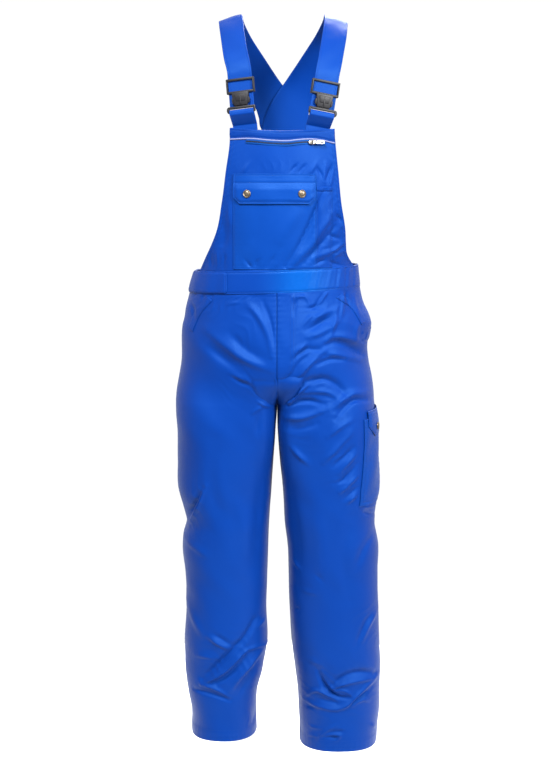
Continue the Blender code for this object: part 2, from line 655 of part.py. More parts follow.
def make_back():
    panel = Panel(chest_surface(BACK, True, lambda across: -0.1785 + 0 * across),
                  np.linspace(0, 1, 9), np.linspace(0, 1, 12))
    sew("back_panel", panel)


# Middle line of each strap from its loose end in front, over the shoulder, to its seam on the back panel
STRAP_PATHS = {
    "right": [(-0.0700, -0.1040, -0.176), (-0.0722, -0.1013, -0.149), (-0.0744, -0.0985, -0.122),
              (-0.0758, -0.0966, -0.106), (-0.0819, -0.0850, -0.080), (-0.0882, -0.0600, -0.0455),
              (-0.0925, -0.030, -0.0155), (-0.0947, 0.0, 0.001), (-0.0930, 0.035, -0.009),
              (-0.0790, 0.070, -0.037), (-0.0500, 0.1010, -0.080), (-0.0190, 0.1215, -0.125),
              (0.0120, 0.1248, -0.165), (0.0310, 0.1251, -0.200), (0.0335, 0.1251, -0.232)],
    "left": [(0.0795, -0.1040, -0.180), (0.0834, -0.1015, -0.155), (0.0873, -0.0990, -0.130),
             (0.0898, -0.0972, -0.114), (0.0955, -0.0860, -0.086), (0.1035, -0.0600, -0.0455),
             (0.1080, -0.030, -0.0155), (0.1096, 0.0, 0.001), (0.1070, 0.035, -0.009),
             (0.0920, 0.070, -0.037), (0.0630, 0.0985, -0.080), (0.0320, 0.1170, -0.125),
             (0.0040, 0.1213, -0.165), (-0.0105, 0.1219, -0.200), (-0.0130, 0.1220, -0.232)]}
BUCKLE_HEIGHT = -0.138


def outward(points):
    # Away from the wearer: to the front on the chest, up on the shoulders and back behind them
    x, y, z = np.array(points).T
    sideways = 0.33 * (x - 0.0065) * (1 - ease((y - 0.08) / 0.03))
    out = np.stack((sideways, y, np.maximum(z + 0.115, 0)), axis=-1)
    return out / np.linalg.norm(out, axis=1, keepdims=True)


def make_straps():
    for side, route in STRAP_PATHS.items():
        centres = smooth_path(route, 40)
        along = np.gradient(centres, axis=0)
        across = np.cross(along, outward(centres))
        across /= np.linalg.norm(across, axis=1, keepdims=True)
        ribbon(f"strap_{side}", centres, across, STRAP_WIDTH, STRAP_CLOTH)
        make_buckle(side, centres)


def make_buckle(side, centres):
    # Local X is across the strap, -Y out of the chest and Z up along the strap; y = 0 is the strap's middle
    station = int(np.abs(centres[:12, 2] - BUCKLE_HEIGHT).argmin())
    up = centres[station + 1] - centres[station - 1]
    out = outward([centres[station]])[0]
    out = out - up * np.dot(out, up) / np.dot(up, up)
    here = frame(centres[station], out, up)
    half, side_bar, tall = 0.0270, 0.0024, 0.0280
    clear = STRAP_CLOTH / 2 + 2 * SEAM
    deep = 0.0028
    frame_parts = [bar(f"buckle_side_{side}_{end}", (side_bar, 2 * (clear + deep), tall),
                       (end * (half - side_bar / 2), 0, 0), "plastic") for end in (-1, 1)]
    for index, (height, thick, face) in enumerate(((0.0118, 0.0044, -1), (-0.0118, 0.0044, -1),
                                                   (0.0035, 0.0030, 1), (-0.0035, 0.0030, 1))):
        frame_parts.append(bar(f"buckle_bar_{side}_{index}", (2 * half - 0.001, deep, thick),
                               (0, face * (clear + deep / 2), height), "plastic"))
    body_outline = [(-0.0165, -0.0125), (-0.0160, -0.0200), (-0.0125, -0.0370), (0.0125, -0.0370),
                    (0.0160, -0.0200), (0.0165, -0.0125)]
    body = prism(f"buckle_clasp_{side}", body_outline, -clear - 0.0064, -clear, "plastic")
    panel = prism(f"buckle_panel_{side}", [(-0.0105, -0.0170), (-0.0075, -0.0345), (0.0075, -0.0345),
                                           (0.0105, -0.0170)], -clear - 0.0074, -clear - 0.0030, "plastic")
    mouth = bar(f"buckle_mouth_{side}", (0.0170, 0.0026, 0.0120), (0, -clear - 0.0032, -0.0340), "plastic")
    upper = frame_parts[0]
    upper.name = f"buckle_upper_{side}"
    for extra in (*frame_parts[1:], body, panel):
        combine(upper, extra, "UNION")
    combine(upper, mouth, "DIFFERENCE")

    top, slot_top, slot_bottom, bottom = -0.0385, -0.0430, -0.0472, -0.0512
    plate_near, plate_far = -clear - 0.0052, -clear - 0.0012
    corner = 0.002
    lower = prism(f"buckle_lower_{side}",
                  [(-half + corner, top), (half - corner, top), (half, top - corner), (half, bottom + corner),
                   (half - corner, bottom), (-half + corner, bottom), (-half, bottom + corner),
                   (-half, top - corner)], plate_near, plate_far, "plastic")
    slot = bar(f"buckle_slot_{side}", (STRAP_WIDTH + 0.0014, 0.02, slot_top - slot_bottom),
               (0, -clear, (slot_top + slot_bottom) / 2), "plastic")
    tongue = bar(f"buckle_tongue_{side}", (0.0160, 0.0019, 0.0090), (0, -clear - 0.0032, -0.0350), "plastic")
    combine(combine(lower, slot, "DIFFERENCE"), tongue, "UNION")
    parts = (*frame_parts, body, panel, mouth, lower, slot, tongue)
    for thing in parts:
        thing.matrix_world = here

    # The short strap goes up from behind the bib, round the lower bar, and down again
    cloth = 0.0016
    front = plate_near - SEAM - cloth / 2
    behind = plate_far + SEAM + cloth / 2
    turn_radius = (behind - front) / 2
    turn_height = slot_bottom - turn_radius + (slot_top - slot_bottom) * 0.5 + cloth * 0.2
    arch = [(front + turn_radius - turn_radius * math.cos(angle),
             turn_height + turn_radius * math.sin(angle)) for angle in np.linspace(0, math.pi, 7)]
    tucked = {"height": -0.0720, "front": 0.0084, "behind": 0.0105}
    end = {"height": -0.0980, "front": 0.0094, "behind": 0.0115}
    path = [(end["front"], end["height"]), (tucked["front"], tucked["height"]), (front, -0.0580), *arch,
            (behind, -0.0580), (tucked["behind"], tucked["height"]), (end["behind"], end["height"])]
    local = [here @ Vector((0, y, z)) for y, z in path]
    width_way = here.to_3x3() @ Vector((1, 0, 0))
    ribbon(f"lower_strap_{side}", [tuple(point) for point in local], [tuple(width_way)] * len(local),
           STRAP_WIDTH, cloth)


def main():
    for thing in list(bpy.data.objects):
        bpy.data.objects.remove(thing, do_unlink=True)
    panels = make_legs()
    make_fly(panels["front", "left"])
    make_waistband()
    make_bib()
    make_hip_pockets(panels)
    make_cargo_pocket(panels)
    make_back()
    make_straps()


main()
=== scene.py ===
# Blue bib-and-brace work overalls: cloth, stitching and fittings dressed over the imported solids.
# Metres. Z is up, the front faces -Y, +X is the wearer's left, and z = 0 lies under the tops of the shoulder straps.
import json
import math

import bmesh
import bpy
import numpy as np
from mathutils import Matrix, Vector
from mathutils.bvhtree import BVHTree


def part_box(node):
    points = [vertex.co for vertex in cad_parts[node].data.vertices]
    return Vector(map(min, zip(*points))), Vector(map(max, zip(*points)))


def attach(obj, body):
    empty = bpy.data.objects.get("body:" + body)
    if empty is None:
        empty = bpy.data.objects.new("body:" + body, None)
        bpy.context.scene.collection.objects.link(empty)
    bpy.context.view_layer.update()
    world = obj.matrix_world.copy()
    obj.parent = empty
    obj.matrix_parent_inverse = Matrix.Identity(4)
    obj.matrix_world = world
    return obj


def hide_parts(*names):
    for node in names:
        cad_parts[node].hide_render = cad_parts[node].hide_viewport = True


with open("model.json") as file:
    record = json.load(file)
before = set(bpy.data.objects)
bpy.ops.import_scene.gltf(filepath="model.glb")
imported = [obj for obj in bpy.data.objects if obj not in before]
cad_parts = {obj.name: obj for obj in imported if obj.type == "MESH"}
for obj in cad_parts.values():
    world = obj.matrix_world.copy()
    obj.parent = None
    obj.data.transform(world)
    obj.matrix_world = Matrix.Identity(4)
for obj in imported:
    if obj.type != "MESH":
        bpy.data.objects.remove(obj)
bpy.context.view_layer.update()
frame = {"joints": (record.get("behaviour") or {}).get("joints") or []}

garment = {
    "cloth": 0.0016,            # trouser, bib and back twill
    "pocketCloth": 0.0012,
    "bandCloth": 0.0026,        # waistband, folded double
    "seamGap": 0.0003,
    "seamTurn": 0.0008,         # the gap at a seam as a share of a panel's width
    "centre": -0.0045,          # centre seam of the trousers
    "waistTop": -0.480,
    "waistBottom": -0.522,
    "seatEnd": -0.642,
    "crotch": -0.742,
    "thighEase": 0.070,
    "hem": {"right": -1.430, "left": -1.452},
    "sign": {"right": -1, "left": 1},
}


# Measures and curves

def ease(value):
    part = np.clip(value, 0, 1)
    return part * part * (3 - 2 * part)


class Sections:
    # Sections down the garment, read at any height on a smooth curve through the rows
    def __init__(self, columns, *rows):
        self.values = {name: np.array(column, float) for name, column in zip(columns.split(), zip(*rows))}

    def at(self, column, z):
        down = -self.values["z"]
        values = self.values[column]
        slopes = np.gradient(values, down)
        place = np.clip(-np.asarray(z, float), down[0], down[-1])
        row = np.clip(np.searchsorted(down, place) - 1, 0, len(down) - 2)
        span = down[row + 1] - down[row]
        part = (place - down[row]) / span
        rest = 1 - part
        return ((1 + 2 * part) * rest ** 2 * values[row] + part * rest ** 2 * span * slopes[row]
                + part ** 2 * (3 - 2 * part) * values[row + 1] - part ** 2 * rest * span * slopes[row + 1])


def smoothPath(points, count):
    # Points evenly spread on a smooth curve through a few
    points = np.array(points, float)
    steps = np.concatenate(([0], np.cumsum(np.linalg.norm(np.diff(points, axis=0), axis=1))))
    names = ["x", "y", "up"][:points.shape[1]]
    path = Sections("z " + " ".join(names), *[(-step, *point) for step, point in zip(steps, points)])
    where = -np.linspace(0, steps[-1], count)
    return np.stack([path.at(name, where) for name in names], axis=-1)


trunk = Sections(
    "z       right    left    front   back",
    (-0.170, -0.165, 0.178, 0.1120, 0.1284),
    (-0.214, -0.167, 0.180, 0.1165, 0.1286),
    (-0.300, -0.170, 0.180, 0.1215, 0.1270),
    (-0.380, -0.170, 0.175, 0.1215, 0.1250),
    (-0.440, -0.167, 0.163, 0.1190, 0.1220),
    (-0.481, -0.1665, 0.1545, 0.1175, 0.1210),
    (-0.505, -0.1735, 0.1565, 0.1180, 0.1230),
    (-0.529, -0.1790, 0.1595, 0.1195, 0.1280),
    (-0.553, -0.1850, 0.1656, 0.1225, 0.1340),
    (-0.577, -0.1885, 0.1775, 0.1260, 0.1390),
    (-0.589, -0.1915, 0.1815, 0.1275, 0.1410),
    (-0.612, -0.1939, 0.1780, 0.1300, 0.1445),
    (-0.630, -0.1941, 0.1745, 0.1315, 0.1460),
    (-0.661, -0.1944, 0.1764, 0.1330, 0.1470),
    (-0.697, -0.1987, 0.1827, 0.1320, 0.1460),
    (-0.742, -0.2065, 0.1885, 0.1290, 0.1430),
    (-0.810, -0.2050, 0.1940, 0.1250, 0.1380))

legShape = {
    "right": Sections(
        "z       outer    inner    front   back",
        (-0.742, -0.2065, -0.0047, 0.1180, 0.1220),
        (-0.806, -0.2040, -0.0088, 0.1120, 0.1130),
        (-0.867, -0.2043, -0.0131, 0.1060, 0.1050),
        (-0.929, -0.2025, -0.0172, 0.1000, 0.0990),
        (-0.960, -0.1930, -0.0195, 0.0970, 0.0965),
        (-0.989, -0.1870, -0.0213, 0.0950, 0.0945),
        (-1.014, -0.1935, -0.0225, 0.0930, 0.0930),
        (-1.041, -0.1959, -0.0233, 0.0910, 0.0910),
        (-1.103, -0.1903, -0.0254, 0.0870, 0.0880),
        (-1.166, -0.1888, -0.0276, 0.0840, 0.0860),
        (-1.242, -0.1936, -0.0256, 0.0810, 0.0830),
        (-1.293, -0.1920, -0.0339, 0.0780, 0.0800),
        (-1.344, -0.1863, -0.0463, 0.0750, 0.0770),
        (-1.383, -0.1804, -0.0485, 0.0730, 0.0750),
        (-1.430, -0.1800, -0.0480, 0.0730, 0.0740)),
    "left": Sections(
        "z       outer   inner    front   back",
        (-0.742, 0.1885, -0.0043, 0.1180, 0.1220),
        (-0.806, 0.1935, -0.0030, 0.1120, 0.1130),
        (-0.867, 0.1960, 0.0015, 0.1060, 0.1050),
        (-0.929, 0.1965, 0.0080, 0.1000, 0.0990),
        (-0.991, 0.1914, 0.0115, 0.0950, 0.0945),
        (-1.041, 0.1999, 0.0173, 0.0910, 0.0910),
        (-1.103, 0.1985, 0.0193, 0.0870, 0.0880),
        (-1.166, 0.2011, 0.0214, 0.0840, 0.0860),
        (-1.242, 0.2038, 0.0256, 0.0810, 0.0830),
        (-1.293, 0.2064, 0.0318, 0.0780, 0.0800),
        (-1.344, 0.2048, 0.0381, 0.0750, 0.0770),
        (-1.383, 0.2052, 0.0402, 0.0730, 0.0750),
        (-1.422, 0.2014, 0.0423, 0.0730, 0.0740),
        (-1.452, 0.1996, 0.0424, 0.0730, 0.0740))}

bibShape = Sections(
    "z       right    left",
    (-0.213, -0.0930, 0.1030),
    (-0.238, -0.0937, 0.1051),
    (-0.294, -0.1016, 0.1111),
    (-0.351, -0.1095, 0.1171),
    (-0.408, -0.1212, 0.1262),
    (-0.431, -0.1309, 0.1275),
    (-0.453, -0.1420, 0.1300),
    (-0.481, -0.1560, 0.1450))
backShape = Sections(
    "z       right    left    square",
    (-0.178, -0.0368, 0.0588, 4.0),
    (-0.235, -0.0368, 0.0588, 4.0),
    (-0.300, -0.0430, 0.0630, 3.0),
    (-0.350, -0.0600, 0.0740, 2.4),
    (-0.400, -0.0840, 0.0900, 2.0),
    (-0.450, -0.1130, 0.1080, 2.0),
    (-0.481, -0.1380, 0.1260, 2.0))

# Each fold: half its width and its height in millimetres (a trough is negative), then x and z along it
bibFolds = (
    (5, -4.0, (0.085, -0.328), (0.070, -0.360), (0.055, -0.397), (0.033, -0.439), (0.012, -0.473)),
    (7, 3.2, (0.097, -0.373), (0.079, -0.401), (0.060, -0.431), (0.037, -0.455), (0.020, -0.476)),
    (6, -3.0, (0.110, -0.388), (0.090, -0.416), (0.070, -0.440), (0.048, -0.466)),
    (3.2, -1.6, (0.070, -0.284), (0.076, -0.295), (0.081, -0.306)),
    (3.5, -1.8, (0.098, -0.284), (0.093, -0.298), (0.087, -0.310)),
    (4, 1.4, (0.087, -0.278), (0.085, -0.295), (0.084, -0.313)),
    (4, 1.2, (0.102, -0.291), (0.097, -0.313), (0.093, -0.328)),
    (4, -2.2, (0.107, -0.373), (0.114, -0.382), (0.122, -0.392)),
    (4.5, -2.0, (0.094, -0.414), (0.105, -0.418), (0.116, -0.421)),
    (4.5, 2.2, (0.063, -0.458), (0.080, -0.451), (0.101, -0.444), (0.122, -0.430)),
    (3.5, -1.8, (0.067, -0.469), (0.077, -0.464), (0.088, -0.460)),
    (3.5, -1.8, (0.094, -0.463), (0.107, -0.469), (0.118, -0.472)),
    (4, 1.4, (0.105, -0.456), (0.115, -0.448), (0.124, -0.444)),
    (3.2, -1.5, (-0.066, -0.459), (-0.060, -0.467), (-0.053, -0.475)),
    (3.2, -1.4, (-0.037, -0.457), (-0.044, -0.465), (-0.047, -0.475)),
    (3.5, -1.6, (-0.010, -0.452), (-0.016, -0.463), (-0.023, -0.475)),
    (4, 1.2, (0.005, -0.444), (-0.002, -0.460), (-0.010, -0.476)),
    (2.8, -1.0, (-0.133, -0.450), (-0.132, -0.463), (-0.131, -0.476)),
    (3, 0.9, (-0.120, -0.444), (-0.119, -0.460), (-0.119, -0.476)),
    (2.8, -1.0, (-0.105, -0.450), (-0.106, -0.463), (-0.108, -0.476)),
    (9, -1.8, (-0.109, -0.388), (-0.105, -0.414), (-0.111, -0.441)),
    (7, 1.4, (-0.093, -0.339), (-0.095, -0.373), (-0.092, -0.403)),
    (3.2, -1.2, (0.033, -0.280), (0.026, -0.289), (0.019, -0.297)),
    (3.2, -1.2, (0.049, -0.281), (0.043, -0.288), (0.037, -0.296)),
    (4, 0.9, (-0.055, -0.276), (-0.063, -0.287), (-0.069, -0.297)),
    (5, 1.0, (0.072, -0.272), (0.061, -0.291), (0.054, -0.302)),
    (12, 1.6, (0.039, -0.358), (0.024, -0.388), (0.003, -0.422)),
    (12, -1.0, (-0.033, -0.373), (-0.044, -0.407), (-0.056, -0.433)))

legFolds = (
    # Below the waistband, wearer's right
    (3.2, -1.5, (-0.155, -0.521), (-0.162, -0.528), (-0.169, -0.535)),
    (3.2, -1.4, (-0.144, -0.521), (-0.146, -0.530), (-0.150, -0.537)),
    (3.2, -1.2, (-0.125, -0.521), (-0.128, -0.528), (-0.132, -0.533)),
    (3.2, 1.0, (-0.101, -0.546), (-0.088, -0.543), (-0.073, -0.541)),
    (8, 2.8, (-0.059, -0.544), (-0.037, -0.571), (-0.021, -0.604), (-0.014, -0.641)),
    (5, -2.0, (-0.031, -0.540), (-0.017, -0.577), (-0.009, -0.621)),
    (10, 3.0, (-0.140, -0.596), (-0.106, -0.622), (-0.075, -0.644), (-0.045, -0.658), (-0.016, -0.668)),
    (12, -2.6, (-0.144, -0.621), (-0.110, -0.647), (-0.070, -0.672)),
    (10, -2.0, (-0.094, -0.601), (-0.064, -0.630), (-0.033, -0.649)),
    (5, -1.8, (-0.091, -0.684), (-0.075, -0.694), (-0.058, -0.701)),
    (6, 1.8, (-0.096, -0.676), (-0.075, -0.685), (-0.053, -0.694)),
    (4, 2.0, (-0.043, -0.731), (-0.030, -0.740), (-0.014, -0.745)),
    (3.5, 1.8, (-0.053, -0.756), (-0.045, -0.749), (-0.034, -0.744)),
    (6, -1.5, (-0.034, -0.750), (-0.041, -0.772), (-0.043, -0.799)),
    (5, -1.8, (-0.175, -0.546), (-0.170, -0.558), (-0.166, -0.577)),
    # Wearer's left hip, down to the crotch
    (4, 1.8, (0.026, -0.532), (0.048, -0.530), (0.061, -0.550)),
    (3.5, -2.4, (0.068, -0.548), (0.077, -0.537), (0.086, -0.525)),
    (3.5, 2.2, (0.074, -0.544), (0.083, -0.532), (0.092, -0.521)),
    (3.5, -2.0, (0.054, -0.553), (0.067, -0.550), (0.081, -0.545)),
    (4, -1.8, (0.032, -0.535), (0.028, -0.548), (0.026, -0.563)),
    (4, 1.6, (0.047, -0.581), (0.054, -0.573), (0.063, -0.564)),
    (6.5, -3.4, (0.050, -0.593), (0.066, -0.587), (0.081, -0.579), (0.104, -0.567)),
    (6, 2.4, (0.062, -0.575), (0.083, -0.563), (0.107, -0.556)),
    (7, 2.4, (0.056, -0.606), (0.081, -0.598), (0.111, -0.580)),
    (7, -4.2, (0.089, -0.623), (0.104, -0.618), (0.123, -0.622), (0.163, -0.648)),
    (7, 2.6, (0.079, -0.620), (0.104, -0.608), (0.134, -0.613), (0.165, -0.630)),
    (7, 2.6, (0.089, -0.636), (0.119, -0.645), (0.157, -0.657)),
    (5, -2.8, (0.073, -0.659), (0.098, -0.651), (0.125, -0.652)),
    (4, 2.2, (0.027, -0.640), (0.037, -0.631), (0.050, -0.621)),
    (5, -2.6, (0.023, -0.652), (0.037, -0.639), (0.053, -0.630), (0.081, -0.632)),
    (6, 3.2, (0.032, -0.689), (0.048, -0.668), (0.066, -0.650), (0.084, -0.635)),
    (5, -2.2, (0.030, -0.670), (0.039, -0.655), (0.058, -0.641)),
    (4.5, 3.4, (0.008, -0.721), (0.019, -0.735), (0.037, -0.713), (0.060, -0.694)),
    (4, -1.8, (0.012, -0.705), (0.032, -0.692), (0.049, -0.686)),
    (7, -4.6, (0.045, -0.699), (0.064, -0.691), (0.087, -0.689), (0.108, -0.699), (0.131, -0.723)),
    (6, 2.8, (0.035, -0.714), (0.064, -0.712), (0.093, -0.715), (0.118, -0.731)),
    (5, -3.0, (0.016, -0.742), (0.038, -0.733), (0.061, -0.732), (0.086, -0.737)),
    (7, 3.4, (0.012, -0.765), (0.036, -0.765), (0.063, -0.758), (0.093, -0.745)),
    (8, -2.4, (0.014, -0.783), (0.040, -0.785), (0.070, -0.776)),
    (6, -3.4, (0.109, -0.766), (0.126, -0.745), (0.143, -0.733), (0.178, -0.737)),
    (7, 2.6, (0.097, -0.750), (0.116, -0.735), (0.139, -0.721), (0.169, -0.722)),
    (6, 2.2, (0.094, -0.801), (0.117, -0.782), (0.140, -0.770)),
    (5, 2.0, (0.124, -0.528), (0.122, -0.546), (0.119, -0.567)),
    (6, 2.0, (0.112, -0.542), (0.106, -0.577), (0.094, -0.615)),
    (4, -2.0, (0.126, -0.520), (0.132, -0.539), (0.140, -0.559)),
    (5, 1.6, (0.145, -0.535), (0.149, -0.554), (0.155, -0.573)),
    (6, 1.8, (0.156, -0.584), (0.149, -0.599), (0.148, -0.617)),
    # Thighs and knees
    (6, -4.5, (-0.150, -0.907), (-0.162, -0.931), (-0.173, -0.953), (-0.180, -0.971)),
    (4.5, 3.4, (-0.144, -0.901), (-0.156, -0.931), (-0.169, -0.963), (-0.180, -0.991)),
    (9, 1.8, (-0.188, -1.019), (-0.168, -1.029), (-0.145, -1.043)),
    (9, 2.0, (-0.190, -1.135), (-0.174, -1.172), (-0.154, -1.211)),
    (6, 2.8, (0.021, -0.821), (0.038, -0.840), (0.057, -0.857)),
    (6, 2.4, (0.086, -0.852), (0.111, -0.824), (0.140, -0.794)),
    (5.5, -2.4, (0.104, -0.860), (0.121, -0.846), (0.142, -0.825)),
    (5.5, 2.6, (0.116, -0.873), (0.131, -0.855), (0.148, -0.839)),
    (6, -2.6, (0.110, -0.899), (0.130, -0.882), (0.149, -0.860)),
    (5, 2.8, (0.118, -0.912), (0.134, -0.898), (0.151, -0.882)),
    (5, -2.0, (0.126, -0.927), (0.138, -0.917), (0.150, -0.906)),
    (4.5, 2.2, (0.132, -0.936), (0.142, -0.926), (0.151, -0.919)),
    (5, -2.4, (0.163, -0.953), (0.175, -0.963), (0.189, -0.971)),
    (5, 1.8, (0.169, -0.945), (0.181, -0.949), (0.193, -0.951)),
    (9, -2.2, (0.187, -1.005), (0.166, -1.033), (0.153, -1.069)),
    (4, 1.4, (0.027, -1.061), (0.034, -1.070), (0.042, -1.078)),
    (5, -1.2, (0.072, -1.082), (0.080, -1.090), (0.086, -1.096)),
    # Wearer's right shin
    (7, -6.0, (-0.049, -1.180), (-0.067, -1.211), (-0.095, -1.240), (-0.126, -1.272), (-0.155, -1.301)),
    (4.5, 4.0, (-0.027, -1.241), (-0.047, -1.238), (-0.067, -1.242), (-0.087, -1.260), (-0.110, -1.283),
     (-0.135, -1.300), (-0.157, -1.313)),
    (5.5, 3.4, (-0.141, -1.211), (-0.123, -1.223), (-0.100, -1.236)),
    (5, -2.0, (-0.129, -1.206), (-0.111, -1.218), (-0.093, -1.229)),
    (6, -3.6, (-0.059, -1.246), (-0.079, -1.269), (-0.103, -1.292), (-0.139, -1.314)),
    (7, 3.4, (-0.031, -1.245), (-0.059, -1.273), (-0.079, -1.295), (-0.099, -1.325)),
    (4, 3.0, (-0.157, -1.314), (-0.135, -1.318), (-0.119, -1.325), (-0.102, -1.337)),
    (5, -3.4, (-0.171, -1.327), (-0.147, -1.330), (-0.123, -1.336), (-0.099, -1.345)),
    (8, -2.0, (-0.047, -1.275), (-0.067, -1.306), (-0.083, -1.336)),
    (5, 1.8, (-0.169, -1.254), (-0.149, -1.253), (-0.125, -1.257)),
    (4, 1.8, (-0.043, -1.197), (-0.033, -1.191), (-0.024, -1.184)),
    (4, 2.0, (-0.047, -1.371), (-0.041, -1.390), (-0.047, -1.407)),
    (4, -1.6, (-0.055, -1.375), (-0.051, -1.392), (-0.055, -1.409)),
    # Wearer's left shin and hem
    (5.5, -5.5, (0.077, -1.284), (0.084, -1.304), (0.097, -1.324), (0.118, -1.338), (0.145, -1.339)),
    (4.5, 4.0, (0.098, -1.325), (0.115, -1.314), (0.141, -1.306), (0.167, -1.304), (0.191, -1.306)),
    (7, -4.4, (0.107, -1.312), (0.131, -1.293), (0.161, -1.287), (0.193, -1.296)),
    (3.5, 2.2, (0.103, -1.329), (0.117, -1.323), (0.133, -1.325), (0.149, -1.339)),
    (5, 3.6, (0.196, -1.306), (0.174, -1.321), (0.152, -1.339), (0.135, -1.355), (0.117, -1.362),
     (0.085, -1.360), (0.049, -1.352)),
    (4.5, -3.0, (0.183, -1.328), (0.165, -1.338), (0.142, -1.353)),
    (3.5, 2.4, (0.146, -1.357), (0.158, -1.349), (0.170, -1.346), (0.181, -1.352)),
    (4, 3.0, (0.047, -1.350), (0.059, -1.336), (0.073, -1.326), (0.101, -1.335), (0.131, -1.344)),
    (5, -1.6, (0.053, -1.365), (0.063, -1.364), (0.073, -1.367)),
    (5, -2.6, (0.077, -1.342), (0.097, -1.347), (0.121, -1.351)),
    (6, 2.2, (0.165, -1.222), (0.179, -1.190), (0.196, -1.168)),
    (6, -2.2, (0.155, -1.230), (0.168, -1.197), (0.182, -1.166)),
    (4, 2.4, (0.078, -1.430), (0.086, -1.417), (0.096, -1.408), (0.114, -1.398)),
    (4, -2.4, (0.102, -1.415), (0.114, -1.411), (0.129, -1.411)),
    (3.5, -2.0, (0.094, -1.425), (0.106, -1.422), (0.118, -1.424)),
    (3.2, 1.8, (0.090, -1.420), (0.104, -1.417), (0.122, -1.419), (0.116, -1.428), (0.102, -1.434)),
    (3.2, 1.4, (0.059, -1.405), (0.073, -1.406), (0.088, -1.405)),
    (3.2, 1.2, (0.057, -1.426), (0.069, -1.424), (0.080, -1.423)),
    (4, 1.6, (0.182, -1.401), (0.190, -1.407), (0.196, -1.415)),
    (8, 1.4, (0.057, -1.261), (0.071, -1.265), (0.087, -1.269)),
    (5, 1.2, (0.046, -1.117), (0.060, -1.120), (0.074, -1.122)),
    (4, -1.4, (0.028, -1.169), (0.035, -1.162), (0.041, -1.156)),
    # Long soft ones down both legs
    (16, 1.6, (-0.077, -0.939), (-0.066, -1.009), (-0.070, -1.080)),
    (18, 1.6, (0.069, -0.929), (0.083, -1.019), (0.080, -1.110)),
    (14, -1.6, (0.138, -0.969), (0.127, -1.039), (0.140, -1.135)),
    (15, -1.6, (-0.127, -0.807), (-0.132, -0.889), (-0.117, -0.969)),
    (12, -1.8, (-0.034, -0.869), (-0.042, -0.969), (-0.046, -1.069)),
    (12, -1.6, (0.022, -0.909), (0.034, -1.009), (0.038, -1.110)))

# Behind, as seen through from the front
seatFolds = (
    (9, -4.0, (-0.150, -0.690), (-0.105, -0.735), (-0.045, -0.775)),
    (8, 3.2, (-0.160, -0.712), (-0.110, -0.760), (-0.050, -0.800)),
    (7, -2.6, (-0.120, -0.800), (-0.080, -0.815), (-0.035, -0.812)),
    (9, -4.0, (0.145, -0.685), (0.095, -0.730), (0.040, -0.768)),
    (8, 3.4, (0.155, -0.707), (0.100, -0.755), (0.045, -0.792)),
    (7, -2.6, (0.125, -0.795), (0.085, -0.812), (0.040, -0.815)),
    (6, 2.0, (0.060, -0.700), (0.035, -0.722), (0.016, -0.735)),
    (6, 2.0, (-0.070, -0.702), (-0.040, -0.725), (-0.020, -0.735)),
    (10, 2.4, (-0.100, -0.560), (-0.080, -0.610), (-0.045, -0.660)),
    (10, -2.2, (-0.130, -0.565), (-0.120, -0.610), (-0.090, -0.655)),
    (10, 2.4, (0.095, -0.562), (0.078, -0.612), (0.040, -0.660)),
    (9, -2.0, (0.130, -0.570), (0.118, -0.612), (0.085, -0.650)),
    (8, -4.6, (-0.175, -0.985), (-0.120, -1.012), (-0.050, -1.000)),
    (7, 3.6, (-0.178, -1.008), (-0.118, -1.034), (-0.045, -1.020)),
    (7, -3.4, (-0.165, -1.040), (-0.110, -1.060), (-0.060, -1.048)),
    (6, 2.6, (-0.150, -0.955), (-0.100, -0.978), (-0.055, -0.965)),
    (8, -4.6, (0.182, -0.998), (0.125, -1.026), (0.052, -1.010)),
    (7, 3.4, (0.186, -1.022), (0.120, -1.046), (0.050, -1.034)),
    (6, -3.0, (0.170, -0.958), (0.115, -0.975), (0.060, -0.972)),
    (7, 2.4, (0.165, -1.072), (0.120, -1.085), (0.070, -1.070)),
    (7, 4.0, (-0.165, -1.292), (-0.110, -1.325), (-0.062, -1.312)),
    (7, -4.0, (-0.170, -1.318), (-0.115, -1.348), (-0.060, -1.336)),
    (6, 2.6, (-0.160, -1.362), (-0.115, -1.376), (-0.070, -1.360)),
    (7, 4.0, (0.182, -1.302), (0.130, -1.338), (0.062, -1.322)),
    (7, -4.2, (0.190, -1.330), (0.128, -1.362), (0.060, -1.346)),
    (6, 2.4, (0.170, -1.388), (0.120, -1.398), (0.075, -1.380)),
    (14, 1.8, (-0.090, -0.850), (-0.095, -0.900), (-0.088, -0.950)),
    (14, 1.8, (0.100, -0.850), (0.108, -0.905), (0.100, -0.950)),
    (13, -1.8, (-0.130, -1.100), (-0.120, -1.180), (-0.128, -1.260)),
    (13, -1.8, (0.140, -1.110), (0.130, -1.190), (0.138, -1.270)))
backFolds = (
    (8, -2.4, (-0.070, -0.395), (-0.030, -0.425), (0.010, -0.470)),
    (8, 2.2, (-0.090, -0.420), (-0.050, -0.450), (-0.020, -0.474)),
    (8, -2.2, (0.078, -0.390), (0.045, -0.425), (0.022, -0.472)),
    (7, 2.0, (0.095, -0.425), (0.065, -0.452), (0.045, -0.474)),
    (10, 1.6, (0.000, -0.290), (0.006, -0.350), (0.010, -0.400)),
    (5, -1.4, (-0.030, -0.270), (-0.022, -0.300), (-0.024, -0.330)),
    (5, -1.4, (0.048, -0.275), (0.040, -0.305), (0.042, -0.335)))


creases = {"narrow": 0.86, "tall": 1.45, "least": 0.0027}

